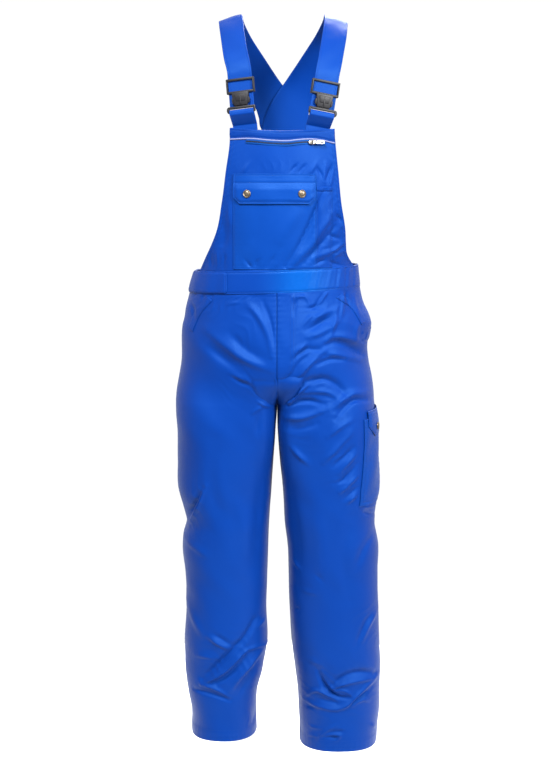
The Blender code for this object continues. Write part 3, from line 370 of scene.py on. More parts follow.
# Crumpled places: middle x and z, half width and half height, height of the creases and their spacing in
# millimetres, and their slope in degrees
bibCrumples = (
    (0.099, -0.298, 0.016, 0.034, 1.0, 12, 105), (0.098, -0.395, 0.028, 0.050, 1.3, 15, 48),
    (0.084, -0.452, 0.050, 0.020, 1.3, 12, 22), (-0.045, -0.466, 0.080, 0.011, 0.8, 13, 62),
    (-0.118, -0.458, 0.024, 0.022, 0.8, 11, 84), (0.000, -0.284, 0.085, 0.012, 0.6, 16, 78),
    (0.060, -0.330, 0.022, 0.040, 0.8, 18, 60))
legCrumples = (
    (0.075, -0.568, 0.050, 0.030, 1.4, 15, 28), (0.142, -0.605, 0.032, 0.050, 1.1, 19, -30),
    (0.056, -0.655, 0.046, 0.050, 1.5, 16, 36), (0.098, -0.738, 0.075, 0.040, 1.3, 21, -14),
    (0.122, -0.872, 0.032, 0.062, 1.4, 16, 40), (-0.135, -0.556, 0.042, 0.028, 0.9, 15, 32),
    (-0.050, -0.602, 0.034, 0.060, 0.9, 19, -58), (-0.064, -0.700, 0.042, 0.034, 1.0, 16, -22),
    (-0.160, -0.950, 0.030, 0.055, 1.2, 17, -62), (-0.092, -1.262, 0.072, 0.062, 1.6, 18, -40),
    (0.122, -1.326, 0.074, 0.052, 1.7, 16, -18), (0.100, -1.412, 0.042, 0.022, 1.2, 11, 14),
    (-0.050, -1.392, 0.020, 0.034, 0.9, 11, 80), (-0.100, -0.536, 0.070, 0.014, 0.9, 12, 66),
    (0.030, -0.536, 0.030, 0.016, 1.1, 11, 70), (0.115, -0.536, 0.034, 0.016, 1.1, 12, 64),
    (0.170, -1.190, 0.034, 0.050, 1.0, 18, 60), (0.040, -0.790, 0.030, 0.060, 0.8, 19, 20))
seatCrumples = (
    (-0.090, -0.745, 0.070, 0.045, 1.6, 20, 30), (0.090, -0.742, 0.070, 0.045, 1.6, 20, -30),
    (-0.115, -1.015, 0.070, 0.045, 1.8, 18, 12), (0.118, -1.030, 0.070, 0.045, 1.8, 18, -12),
    (-0.115, -1.335, 0.070, 0.045, 1.6, 16, 18), (0.125, -1.345, 0.070, 0.045, 1.6, 16, -18),
    (0.000, -0.545, 0.130, 0.018, 1.0, 12, 84), (-0.110, -0.610, 0.050, 0.050, 0.8, 20, -55),
    (0.110, -0.610, 0.050, 0.050, 0.8, 20, 55))
backCrumples = (
    (0.000, -0.462, 0.110, 0.014, 0.9, 12, 82), (0.006, -0.330, 0.040, 0.070, 0.6, 20, 75))


def crumple(x, z, patches):
    # Crisp creases of uneven run, strongest in the middle of each place
    total = np.zeros_like(x)
    for number, (middleX, middleZ, wide, high, height, spacing, slope) in enumerate(patches):
        spacing, turn = spacing / 1000, math.radians(slope)
        mask = np.exp(-((x - middleX) / wide) ** 2 - ((z - middleZ) / high) ** 2)
        along = (x - middleX) * math.cos(turn) + (z - middleZ) * math.sin(turn)
        across = (z - middleZ) * math.cos(turn) - (x - middleX) * math.sin(turn)
        bend = (1.5 * np.sin(along / (1.4 * spacing) + 1.9 * number) + 0.9 * np.sin(along / (0.55 * spacing) - number
                + across / spacing))
        run = 0.55 + 0.45 * np.sin(along / (0.9 * spacing) + 1.3 * across / spacing + 2.7 * number)
        crest = 1 - np.abs(np.sin(across * math.pi / spacing + bend)) ** 0.8
        total += height / 1000 * mask * run * (crest - 0.35)
    return total


def foldRelief(x, z, folds):
    total = np.zeros_like(x)
    for number, (width, height, *line) in enumerate(folds):
        width = max(width / 1000 * creases["narrow"], creases["least"])
        height = height * creases["tall"]
        path = smoothPath(line, 48)
        reach = 3.0 * width
        low, high = path.min(axis=0) - reach, path.max(axis=0) + reach
        near = (x > low[0]) & (x < high[0]) & (z > low[1]) & (z < high[1])
        if not near.any():
            continue
        away = np.hypot(x[near][:, None] - path[:, 0], z[near][:, None] - path[:, 1])
        nearest = away.argmin(axis=1)
        along = nearest / (len(path) - 1)
        over = np.tanh((z[near] - path[nearest, 1]) / width)      # folds fall off faster on their lower side
        spread = width * (1 + 0.22 * over)
        uneven = 1 + 0.20 * np.sin(6 * along + 1.7 * number)
        taper = np.sin(math.pi * np.clip(along, 0.05, 0.95)) ** 0.6
        total[near] += height / 1000 * uneven * taper * np.exp(-(away.min(axis=1) / spread) ** 2)
    return total


def lowest(height, reach):
    # The lowest value near each point, so that a coarser net behind the cloth never shows through it
    wide = np.pad(height, reach, mode="edge")
    rows, columns = height.shape
    spans = range(2 * reach + 1)
    across = np.min([wide[:, start:start + columns] for start in spans], axis=0)
    return np.min([across[start:start + rows] for start in spans], axis=0)


def drift(x, z, seed):
    # The slow unevenness that worn cloth has everywhere
    return (0.0009 * np.sin(38 * x + 1.7 * np.sin(11 * z + seed) + seed) * np.cos(23 * z + 2 * seed)
            + 0.0004 * np.sin(90 * x + 60 * z + 3 * seed + np.sin(40 * z)))


# Nets of points

def gridNormals(points, like):
    normals = np.cross(np.gradient(points, axis=1), np.gradient(points, axis=0))
    normals /= np.maximum(np.linalg.norm(normals, axis=-1, keepdims=True), 1e-12)
    facing = np.where(np.sum(normals * like, axis=-1, keepdims=True) < 0, -1, 1)
    return normals * facing


def edgeDistances(points):
    # How far each point lies from the four edges of its net, measured along the cloth
    across = np.cumsum(np.linalg.norm(np.diff(points, axis=1), axis=-1), axis=1)
    down = np.cumsum(np.linalg.norm(np.diff(points, axis=0), axis=-1), axis=0)
    first = np.concatenate((np.zeros((len(points), 1)), across), axis=1)
    top = np.concatenate((np.zeros((1, points.shape[1])), down), axis=0)
    return {"first": first, "last": first[:, -1:] - first, "top": top, "bottom": top[-1:] - top}


def spaced(length, step, fine=(0, 0.0005, 0.0012, 0.0018, 0.0024, 0.0034, 0.0048, 0.0064, 0.0072, 0.0080, 0.0096)):
    # Shares of a length, close together near both ends where the stitching lies
    fine = [value for value in fine if value < length / 2.5]
    middle = np.linspace(fine[-1], length - fine[-1], max(int((length - 2 * fine[-1]) / step), 2) + 1)
    return np.concatenate((fine[:-1], middle, length - np.array(fine[-2::-1]))) / length


class Net:
    # Rows and columns of points on the outer face of a cloth, with the directions out of it
    def __init__(self, points, like):
        self.points = points
        self.normals = gridNormals(points, like)

    def raised(self, height):
        net = Net(self.points + self.normals * height[..., None], self.normals)
        net.u, net.v = self.u, self.v
        return net

    def behind(self, height, depth):
        # The inner face of a cloth that is raised by a height
        return self.points + self.normals * (lowest(height, 3) - depth)[..., None]

    def find(self, u, v):
        # Places and outward directions at any turn and height of the net
        def between(values, wanted):
            order = np.argsort(values)
            return np.interp(wanted, values[order], np.arange(len(values))[order])

        column, row = between(self.u[0], u), between(self.v[:, 0], v)
        left = np.clip(column.astype(int), 0, self.points.shape[1] - 2)
        top = np.clip(row.astype(int), 0, self.points.shape[0] - 2)
        a, b = (column - left)[..., None], (row - top)[..., None]

        def blend(grid):
            return ((grid[top, left] * (1 - a) + grid[top, left + 1] * a) * (1 - b)
                    + (grid[top + 1, left] * (1 - a) + grid[top + 1, left + 1] * a) * b)

        out = blend(self.normals)
        return blend(self.points), out / np.linalg.norm(out, axis=-1, keepdims=True)


def surfaceNet(surface, first, second):
    u, v = np.meshgrid(first, second)
    points = surface(u, v)
    middle = points.mean(axis=(0, 1)) * (1, 0.5, 1)
    normals = gridNormals(points, points - middle)
    if np.sum(normals * (points - middle)) < 0:
        normals = -normals
    net = Net(points, normals)
    net.u, net.v = u, v
    return net


class Ground:
    # A net that other pieces are laid on, found by looking along one axis
    def __init__(self, net, axis="Y"):
        self.net, self.axis = net, axis
        rows, columns = net.points.shape[:2]
        index = np.arange(rows * columns).reshape(rows, columns)
        quads = np.stack((index[:-1, :-1], index[:-1, 1:], index[1:, 1:], index[1:, :-1]), axis=-1).reshape(-1, 4)
        self.quads = quads
        self.flatPoints, self.flatNormals = net.points.reshape(-1, 3), net.normals.reshape(-1, 3)
        self.tree = BVHTree.FromPolygons(self.flatPoints.tolist(), quads.tolist())

    def find(self, first, up):
        places, ways = np.zeros(first.shape + (3,)), np.zeros(first.shape + (3,))
        missed = []
        for spot in np.ndindex(first.shape):
            if self.axis == "X":
                start, way = (1.0, first[spot], up[spot]), (-1, 0, 0)
            else:
                start, way = (first[spot], -1.0, up[spot]), (0, 1, 0)
            place, _, quad, _ = self.tree.ray_cast(Vector(start), Vector(way))
            if place is None:
                missed.append(spot)
                place, _, quad, _ = self.tree.find_nearest(Vector(start) + Vector(way) * 0.9)
            corners = self.quads[quad]
            weight = 1 / (np.linalg.norm(self.flatPoints[corners] - np.array(place), axis=1) + 1e-6)
            out = (self.flatNormals[corners] * weight[:, None]).sum(axis=0)
            places[spot], ways[spot] = place, out / np.linalg.norm(out)
        return places, ways


# Meshes

def meshObject(name, points, faces, finish, smooth=True):
    mesh = bpy.data.meshes.new(name)
    mesh.from_pydata(np.asarray(points).tolist(), [], [list(face) for face in faces])
    mesh.validate()
    form = bmesh.new()
    form.from_mesh(mesh)
    bmesh.ops.recalc_face_normals(form, faces=form.faces)
    form.to_mesh(mesh)
    form.free()
    thing = bpy.data.objects.new(name, mesh)
    bpy.context.scene.collection.objects.link(thing)
    mesh.materials.append(finish)
    if smooth:
        mesh.shade_smooth()
    return thing


def carry(piece, stands=(), body="garment"):
    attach(piece, body)
    if stands:
        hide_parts(*stands)
    return piece


def shell(name, outer, inner, finish, roundEdges=("top", "bottom", "first", "last"), stands=(),
          skip=3):
    # Cloth between two nets, with a rounded fold along its free edges; the hidden inner net is coarser
    rows, columns = outer.shape[:2]
    count = rows * columns
    index = np.arange(count).reshape(rows, columns)
    quads = np.stack((index[:-1, :-1], index[:-1, 1:], index[1:, 1:], index[1:, :-1]), axis=-1).reshape(-1, 4)
    keptRows = np.unique(np.append(np.arange(0, rows, skip), rows - 1))
    keptColumns = np.unique(np.append(np.arange(0, columns, skip), columns - 1))
    coarse = np.full((rows, columns), -1)
    coarse[np.ix_(keptRows, keptColumns)] = np.arange(len(keptRows) * len(keptColumns)).reshape(len(keptRows), -1)
    rim = np.concatenate((index[0, :-1], index[:-1, -1], index[-1, :0:-1], index[:0:-1, 0]))
    beyond = np.zeros((rows, columns, 3))
    steps = {"top": (np.s_[0, :], outer[0] - outer[1]), "bottom": (np.s_[-1, :], outer[-1] - outer[-2]),
             "first": (np.s_[:, 0], outer[:, 0] - outer[:, 1]), "last": (np.s_[:, -1], outer[:, -1] - outer[:, -2])}
    for side in roundEdges:
        spots, way = steps[side]
        beyond[spots] += way / np.maximum(np.linalg.norm(way, axis=-1, keepdims=True), 1e-9)
    beyond = beyond.reshape(-1, 3)[rim]
    flatOuter, flatInner = outer.reshape(-1, 3), inner.reshape(-1, 3)
    thickness = np.linalg.norm(flatOuter[rim] - flatInner[rim], axis=1, keepdims=True)
    fold = (flatOuter[rim] + flatInner[rim]) / 2 + beyond * thickness * 0.42
    back = inner[np.ix_(keptRows, keptColumns)]
    points = np.concatenate((flatOuter, fold, back.reshape(-1, 3)))
    ring = np.arange(len(rim)) + count
    below = coarse[np.ix_(keptRows, keptColumns)] + count + len(rim)
    faces = quads.tolist()
    faces += np.stack((below[:-1, :-1], below[1:, :-1], below[1:, 1:], below[:-1, 1:]), axis=-1).reshape(-1, 4).tolist()
    faces += np.stack((rim, np.roll(rim, -1), np.roll(ring, -1), ring), axis=-1).tolist()
    corner = coarse.reshape(-1)[rim]
    stops = np.flatnonzero(corner >= 0).tolist()
    for here, there in zip(stops, stops[1:] + [len(rim)]):
        last = there % len(rim)
        far, near = int(corner[last]) + count + len(rim), int(corner[here]) + count + len(rim)
        faces.append([int(ring[place % len(rim)]) for place in range(here, there + 1)] + [far, near])
    thing = meshObject(name, points, faces, finish)
    edges = edgeDistances(outer)
    place = np.stack((edges["first"], edges["top"], np.zeros((rows, columns))), axis=-1)
    worn = np.exp(-np.min([edges[side] for side in edges], axis=0) / 0.0015)
    kept = np.ix_(keptRows, keptColumns)
    places = np.concatenate((place.reshape(-1, 3), place.reshape(-1, 3)[rim], place[kept].reshape(-1, 3)))
    wear = np.concatenate((worn.reshape(-1), worn.reshape(-1)[rim], worn[kept].reshape(-1)))
    weave = thing.data.attributes.new("clothPlace", "FLOAT_VECTOR", "POINT")
    weave.data.foreach_set("vector", places.astype(np.float32).reshape(-1))
    edge = thing.data.attributes.new("wornEdge", "FLOAT", "POINT")
    edge.data.foreach_set("value", wear.astype(np.float32))
    carry(thing, stands)
    print(f"  {name}: {sum(len(face) - 2 for face in faces)} triangles, cloth {clothArea(outer):.4f} m2")
    return thing


def clothArea(points):
    a, b, c, d = points[:-1, :-1], points[:-1, 1:], points[1:, 1:], points[1:, :-1]
    return 0.5 * (np.linalg.norm(np.cross(b - a, c - a), axis=-1).sum()
                  + np.linalg.norm(np.cross(c - a, d - a), axis=-1).sum())


# Stitching: each line of thread is a run of short stitches that dip into the cloth at both ends

threadLines = {"trousers": [], "top": []}
thread = {"pitch": 0.0032, "length": 0.0026, "radius": 0.00024, "rise": 0.00020}


def edgeLine(net, side, distance, trim=(0, 0)):
    # Points on a net at one distance in from one of its edges
    edges = edgeDistances(net.points)[side]
    points, normals = net.points, net.normals
    if side in ("top", "bottom"):
        edges, points, normals = edges.T, points.swapaxes(0, 1), normals.swapaxes(0, 1)
    if side in ("last", "bottom"):
        edges, points, normals = edges[:, ::-1], points[:, ::-1], normals[:, ::-1]
    line = np.array([[np.interp(distance, row, points[number, :, axis]) for axis in range(3)]
                     for number, row in enumerate(edges)])
    out = np.array([[np.interp(distance, row, normals[number, :, axis]) for axis in range(3)]
                    for number, row in enumerate(edges)])
    along = np.concatenate(([0], np.cumsum(np.linalg.norm(np.diff(line, axis=0), axis=1))))
    keep = (along >= trim[0]) & (along <= along[-1] - trim[1])
    return line[keep], out[keep]


def sewLine(group, line):
    threadLines[group].append(line)


def dip(distance, where, depth=0.00032, width=0.0008):
    return -depth * np.exp(-((distance - where) / width) ** 2)


def makeStitches(name, lines, finish):
    turnAngles = np.arange(4) * math.pi / 2
    sections = ((-0.5, -0.00012, 0.35), (-0.20, 1.0, 1.0), (0.20, 1.0, 1.0), (0.5, -0.00012, 0.35))
    points, faces = [], []
    for line, out in lines:
        along = np.concatenate(([0], np.cumsum(np.linalg.norm(np.diff(line, axis=0), axis=1))))
        number = int(along[-1] / thread["pitch"])
        if number < 1:
            continue
        centres = (np.arange(number) + 0.5) * along[-1] / number
        for middle in centres:
            base = len(points)
            for share, height, size in sections:
                place = min(max(middle + share * thread["length"], 0), along[-1])
                spot = np.array([np.interp(place, along, line[:, axis]) for axis in range(3)])
                up = np.array([np.interp(place, along, out[:, axis]) for axis in range(3)])
                if share == -0.5:
                    ahead = min(middle + 0.5 * thread["length"], along[-1])
                    way = np.array([np.interp(ahead, along, line[:, axis]) for axis in range(3)]) - spot
                    way /= max(np.linalg.norm(way), 1e-9)
                up /= max(np.linalg.norm(up), 1e-9)
                aside = np.cross(way, up)
                lift = height * thread["rise"] if height > 0 else height
                for angle in turnAngles:
                    points.append(spot + up * lift + thread["radius"] * size
                                  * (math.cos(angle) * aside + math.sin(angle) * up))
            for ring in range(3):
                for corner in range(4):
                    low, high = base + ring * 4, base + ring * 4 + 4
                    after = (corner + 1) % 4
                    faces.append((low + corner, low + after, high + after, high + corner))
            faces.append((base, base + 1, base + 2, base + 3))
            faces.append((base + 12, base + 13, base + 14, base + 15))
    thing = meshObject(name, points, faces, finish)
    carry(thing)
    print(f"  {name}: {len(faces) * 2} triangles")
    return thing


# Finishes

class Link:
    # A node's socket used in Python sums: each sum adds the Math node that it stands for
    def __init__(self, recipe, socket):
        self.recipe, self.socket = recipe, socket

    def math(self, operation, first, second=0.0):
        return self.recipe.node("Math", {"operation": operation}, {0: first, 1: second})

    def __add__(self, other):
        return self.math("ADD", self, other)

    def __sub__(self, other):
        return self.math("SUBTRACT", self, other)

    def __rsub__(self, other):
        return self.math("SUBTRACT", other, self)

    def __mul__(self, other):
        return self.math("MULTIPLY", self, other)

    def __truediv__(self, other):
        return self.math("DIVIDE", self, other)

    def __pow__(self, other):
        return self.math("POWER", self, other)

    def sine(self):
        return self.math("SINE", self)

    def clear(self):
        return self.math("ABSOLUTE", self)

    __radd__, __rmul__ = __add__, __mul__


class Finish:
    def __init__(self, name):
        self.material = bpy.data.materials.new(name)
        self.material.use_nodes = True
        self.tree = self.material.node_tree
        self.shader = self.tree.nodes["Principled BSDF"]

    def node(self, kind, settings=None, sockets=None, output=0):
        made = self.tree.nodes.new("ShaderNode" + kind)
        for name, value in (settings or {}).items():
            if name == "stops":
                for stop, (position, colour) in zip(made.color_ramp.elements, value):
                    stop.position, stop.color = position, colour
            else:
                setattr(made, name, value)
        for name, value in (sockets or {}).items():
            self.feed(made.inputs[name], value)
        return Link(self, made.outputs[output])

    def feed(self, socket, value):
        if isinstance(value, Link):
            self.tree.links.new(value.socket, socket)
        else:
            socket.default_value = value

    def mix(self, share, first, second):
        return self.node("Mix", {"data_type": "RGBA"}, {0: share, 6: first, 7: second}, output=2)

    def noise(self, place, scale, detail=2.0):
        return self.node("TexNoise", {}, {"Vector": place, "Scale": scale, "Detail": detail})

    def shade(self, **sockets):
        for name, value in sockets.items():
            self.feed(self.shader.inputs[name.replace("_", " ")], value)
        return self.material


clothColours = {
    "deep": (0.0002109, 0.01266, 0.1066, 1),
    "light": (0.0004218, 0.01793, 0.1327, 1),
    "edge": (0.003164, 0.03797, 0.2132, 1),
    # painted sheen: the lighter sky blue laid across the middle of the waistband's front for its satin highlight
    "paintedSheen": (0.0004218, 0.03586, 0.1777, 1),
    # painted shade: the darker blue for the strip across the top of the bib, standing in for the shade that falls on it
    "band": (0.0001055, 0.01002, 0.08884, 1),
}


def clothFinish(name, deep, light, roughness=0.46, paintedSheen=None, ribs=0.00085, strength=0.30):
    made = Finish(name)
    weave = made.node("Attribute", {"attribute_name": "clothPlace"}, output=1)
    across = made.node("SeparateXYZ", {}, {0: weave}, output=0)
    along = made.node("SeparateXYZ", {}, {0: weave}, output=1)
    place = made.node("NewGeometry", {}, output=0)
    diagonal = ((across + along * 0.8) * (2 * math.pi / ribs)).sine()
    yarn = (across * (2 * math.pi / (ribs * 0.62))).sine()
    cloudy = made.noise(place, 7.0, 3.0)
    crinkle = made.noise(place, 95.0, 3.0)
    worn = made.node("Attribute", {"attribute_name": "wornEdge"}, output=2)
    colour = made.mix(cloudy, deep, light)
    # Painted sheen: across a strip centred on a given x the colour turns a lighter sky blue, standing in for a satin
    # highlight; the roughness is lowered there as well
    if paintedSheen is not None:
        shift, width, tint = paintedSheen
        side = made.node("SeparateXYZ", {}, {0: place}, output=0)
        middle = made.node("Math", {"operation": "POWER"}, {0: math.e, 1: ((side - shift) / width) ** 2 * -1.0})
        colour = made.mix(middle * (0.75 + cloudy * 0.4), colour, tint)
        surface = roughness - middle * 0.12 + (cloudy - 0.5) * 0.10
    else:
        surface = roughness + (cloudy - 0.5) * 0.12 + (crinkle - 0.5) * 0.06
    colour = made.mix(worn * 0.10 * crinkle, colour, clothColours["edge"])
    height = diagonal * 0.5 + yarn * 0.2 + crinkle * 1.6
    bump = made.node("Bump", {}, {"Strength": strength, "Distance": 0.00022, "Height": height})
    return made.shade(Base_Color=colour, Roughness=surface, Normal=bump, Sheen_Weight=0.02, Sheen_Roughness=0.45,
                      Sheen_Tint=(0.30, 0.55, 1.0, 1), Specular_IOR_Level=0.20,
                      Specular_Tint=(0.16, 0.50, 1.0, 1))


def mottled(name, dark, light, roughness, metallic, scale, bumpDepth, specular=0.5, coat=0.0):
    # Plastic and metal: a slightly uneven colour and gloss, with a fine grain
    made = Finish(name)
    place = made.node("NewGeometry", {}, output=0)
    grain = made.noise(place, scale, 4.0)
    broad = made.noise(place, scale / 6, 2.0)
    colour = made.mix(broad, dark, light)
    bump = made.node("Bump", {}, {"Strength": 0.4, "Distance": bumpDepth, "Height": grain})
    return made.shade(Base_Color=colour, Roughness=roughness + (grain - 0.5) * 0.18, Metallic=metallic, Normal=bump,
                      Specular_IOR_Level=specular, Coat_Weight=coat)


finishes = {
    "twill": clothFinish("blueTwill", clothColours["deep"], clothColours["light"]),
    "pocket": clothFinish("pocketTwill", clothColours["light"], (0.0005, 0.0190, 0.122, 1), 0.44),
    # Painted shade: the twill across the top of the bib is coloured darker for the shade on it
    "band": clothFinish("bandTwill", clothColours["band"], clothColours["deep"], 0.50),
    # The front of the waistband carries a painted sheen: a lighter sky blue across its middle
    "waist": clothFinish("waistSatinPaintedSheen", clothColours["deep"], clothColours["light"], 0.44,
                         (0.037, 0.046, clothColours["paintedSheen"])),
    "strap": clothFinish("strapTwill", clothColours["deep"], clothColours["light"], 0.46, None, 0.0011),
    "piping": clothFinish("palePiping", (0.095, 0.105, 0.20, 1), (0.11, 0.12, 0.22, 1), 0.6, None, 0.0007, 0.2),
    "zipTape": clothFinish("zipTape", (0.0003, 0.018, 0.105, 1), (0.0005, 0.026, 0.135, 1), 0.42, None, 0.0006),
    "thread": mottled("blueThread", (0.0004, 0.013, 0.088, 1), (0.0006, 0.019, 0.110, 1), 0.60, 0.0, 900, 0.00002,
                      0.15),
    "plastic": mottled("blackPlastic", (0.0035, 0.0035, 0.005, 1), (0.006, 0.006, 0.008, 1), 0.46, 0.0, 700, 0.00003,
                       0.18),
    "brass": mottled("antiqueBrass", (0.075, 0.058, 0.042, 1), (0.15, 0.12, 0.085, 1), 0.42, 1.0, 420, 0.00004),
    "zipMetal": mottled("zipMetal", (0.22, 0.20, 0.165, 1), (0.34, 0.315, 0.27, 1), 0.32, 1.0, 600, 0.00002),
}
print("finishes ready")


# Trousers

def waistRise(x, z):
    # The waist slopes up a little to the wearer's left
    return 0.035 * x * ease((z + 0.62) / 0.09)


def trouserSurface(side):
    # Turn 0 is the side seam, 1 the front and -1 the back inner edge of one half of the trousers
    sign, leg = garment["sign"][side], legShape[side]
    seatEnd, crotch = garment["seatEnd"], garment["crotch"]

    def surface(turn, z):
        around = np.abs(turn)
        front = turn >= 0
        seatAngle = around * math.pi / 2
        seatOuter = trunk.at(side, z)
        seatInner = garment["centre"] + sign * garment["seamGap"] / 2
        seatDepth = np.where(front, -trunk.at("front", z), trunk.at("back", z))
        seatX = seatInner + (seatOuter - seatInner) * np.cos(seatAngle)
        seatY = seatDepth * np.sin(seatAngle)
        legAngle = around * math.pi
        outer, inner = leg.at("outer", z), leg.at("inner", z)
        legDepth = np.where(front, -leg.at("front", z), leg.at("back", z))
        full = 1 + 0.05 * np.sin(2 * legAngle) ** 2
        square = 1 - 0.62 * ease((z + 1.00) / 0.22) * ease((around - 0.5) / 0.3)
        legX = (outer + inner) / 2 + (outer - inner) / 2 * np.cos(legAngle) * full
        down = np.clip((seatEnd - z) / (seatEnd - crotch), 0, 1)
        depth = np.abs(np.sin(legAngle)) ** square
        depth += np.clip(0.8 - depth, 0, 1) * ease((around - 0.6) / 0.25) * (1 - down ** 4)      # flat by the centre seam
        legY = legDepth * depth * full
        drop = np.clip((seatEnd - z) / (seatEnd - crotch + garment["thighEase"]), 0, 1)
        thigh = drop ** 3 * (10 - 15 * drop + 6 * drop ** 2)
        share = thigh + (np.maximum(down ** 16, thigh) - thigh) * around ** 40
        x = seatX + (legX - seatX) * share
        y = seatY + (legY - seatY) * share
        return np.stack((x, y, z + waistRise(x, z)), axis=-1)
    return surface


def pucker(along, distance, size=0.00030):
    # Small waves where a seam draws the cloth in
    return size * np.exp(-distance / 0.010) * np.sin(along * 590 + 1.6 * np.sin(along * 43)) * ease(distance / 0.002)


trousers = {
    "frontStep": (0.0020, 0.0025),
    "backStep": (0.0028, 0.0034),
    "hemBand": 0.024,
    "felled": 0.0088,              # width of the doubled cloth at a felled seam
    "rows": (0.0018, 0.0070),      # the two rows of thread on it
    "front": {"flat": (0.36, 0.98), "area": 0.262},
    "back": {"flat": (0.36, 0.98), "area": 0.270},
}


def makeLegs():
    nets = {}
    for number, side in enumerate(("right", "left")):
        surface = trouserSurface(side)
        hem = garment["hem"][side]
        top = garment["waistBottom"] - garment["seamGap"]
        for face, sign, folds, patches in (("front", 1, legFolds, legCrumples), ("back", -1, seatFolds, seatCrumples)):
            acrossStep, downStep = trousers[face + "Step"]
            turns = garment["seamTurn"] + (1 - 1.5 * garment["seamTurn"]) * spaced(0.28, acrossStep)
            heights = top + (hem - top) * spaced(top - hem, downStep)
            base = surfaceNet(surface, sign * turns, heights)
            x, z = base.points[..., 0], base.points[..., 2]
            edges = edgeDistances(base.points)
            seam = np.minimum(edges["first"], edges["last"])
            fade = ease(edges["first"] / 0.016) * ease(edges["last"] / 0.012) * ease(edges["top"] / 0.006)
            height = (foldRelief(x, z, folds) + crumple(x, z, patches) + drift(x, z, 1.0 + number)) * fade
            height += pucker(edges["top"], seam) + pucker(edges["first"], edges["bottom"], 0.0002)
            if face == "front":
                height -= 0.0014 * np.exp(-edges["last"] / 0.0010)      # the centre seam lies in a narrow groove
            hemLine = trousers["hemBand"]
            height += 0.0005 * ease((hemLine + 0.001 - edges["bottom"]) / 0.002) + dip(edges["bottom"], hemLine - 0.002)
            felled = []
            if face == "back":
                felled = ["first", "last"]
            elif side == "left":
                felled = ["last"]
            for edge in felled:
                inCrotch = ease((edges["top"] - 0.17) / 0.02) if face == "front" else 1
                height += 0.0005 * ease((trousers["felled"] - edges[edge]) / 0.0016) * inCrotch
                for row in trousers["rows"]:
                    height += dip(edges[edge], row) * inCrotch
            net = base.raised(height)
            nets[face, side] = net
            depth = garment["cloth"] + 0.0008 * ease((hemLine - edges["bottom"]) / 0.002)
            piece = shell(f"{face}Leg{side.title()}", net.points, base.behind(height, depth), finishes["twill"],
                          ("bottom",), stands=[f"{face}_leg_{side}"])
            for edge in felled:
                for row in trousers["rows"]:
                    start = 0.186 if face == "front" else 0.004
                    sewLine("trousers", edgeLine(net, edge, row, (start, 0.004)))
            sewLine("trousers", edgeLine(net, "bottom", hemLine - 0.002, (0.001, 0.001)))
    return nets


legNets = makeLegs()
frontLeft = Ground(legNets["front", "left"])
frontRight = Ground(legNets["front", "right"])
print("legs made")


def laidPatch(ground, first, up, under, cloth, relief=None):
    # Outer and inner nets of a piece that lies on a ground, and its edge distances
    places, ways = ground.find(first, up)
    edges = edgeDistances(places)
    inner = Net(places, ways)
    lift = under(first, up) if callable(under) else np.full(first.shape, under)
    low = places + ways * lift[..., None]
    height = np.full(first.shape, cloth)
    if relief is not None:
        height = height + relief(edges)
    return Net(low + ways * height[..., None], inner.normals), low, edges


def rectangle(right, left, top, bottom, step=0.0026):
    across = right + (left - right) * spaced(abs(left - right), step)
    down = top + (bottom - top) * spaced(abs(bottom - top), step)
    return np.meshgrid(across, down)


fly = {"top": -0.5226, "bottom": -0.688, "width": 0.033, "curve": 0.038, "flat": (0.034, 0.168)}


def makeFly():
    edge = garment["centre"] + 0.0008
    down = fly["top"] + (fly["bottom"] - fly["top"]) * spaced(fly["top"] - fly["bottom"], 0.0024)
    depth = np.clip((fly["bottom"] + fly["curve"] - down) / fly["curve"], 0, 0.998)
    width = fly["width"] * np.sqrt(1 - depth ** 2)
    share, heights = np.meshgrid(spaced(fly["width"], 0.0022), down)
    first = edge + width[:, None] * share

    def relief(edges):
        return dip(edges["first"], 0.0020, 0.0002) - 0.0006 * (1 - ease(edges["last"] / 0.004))

    net, low, _ = laidPatch(frontLeft, first, heights, garment["seamGap"], garment["pocketCloth"], relief)
    piece = shell("flyFront", net.points, low, finishes["twill"], stands=["fly"])
    sewLine("trousers", edgeLine(net, "last", 0.0030, (0.002, 0.002)))
    sewLine("trousers", edgeLine(net, "last", 0.0085, (0.002, 0.004)))


makeFly()


def bandSurface(back):
    def surface(turn, z):
        angle = turn * math.pi / 2
        right, left = trunk.at("right", z), trunk.at("left", z)
        proud = 0.0010
        x = (right + left) / 2 + ((left - right) / 2 + proud) * np.sin(angle)
        depth = trunk.at("back", z) + proud if back else -trunk.at("front", z) - proud
        return np.stack((x, depth * np.cos(angle), z + waistRise(x, z)), axis=-1)
    return surface


waistband = {
    "frontFlat": (0.435, 0.045), "backFlat": (0.47, 0.045), "tabFlat": (0.133, 0.040),
    "gathers": (      # x at the top, x at the bottom, half width in millimetres and height in millimetres
        (0.064, 0.050, 3.4, 0.5), (0.073, 0.066, 2.2, -0.6), (0.081, 0.069, 3.6, 0.7), (0.092, 0.087, 2.0, -0.4),
        (0.100, 0.089, 3.2, 0.6), (0.112, 0.108, 2.4, -0.8), (0.119, 0.110, 3.6, 0.5), (0.129, 0.127, 2.2, -0.6),
        (0.136, 0.131, 3.0, 0.6), (0.144, 0.143, 2.2, -0.5), (0.148, 0.146, 2.0, 0.4)),
    "crumples": ((0.045, -0.501, 0.034, 0.016, 0.9, 9, 48), (0.008, -0.503, 0.030, 0.014, 0.4, 12, 80)),
}


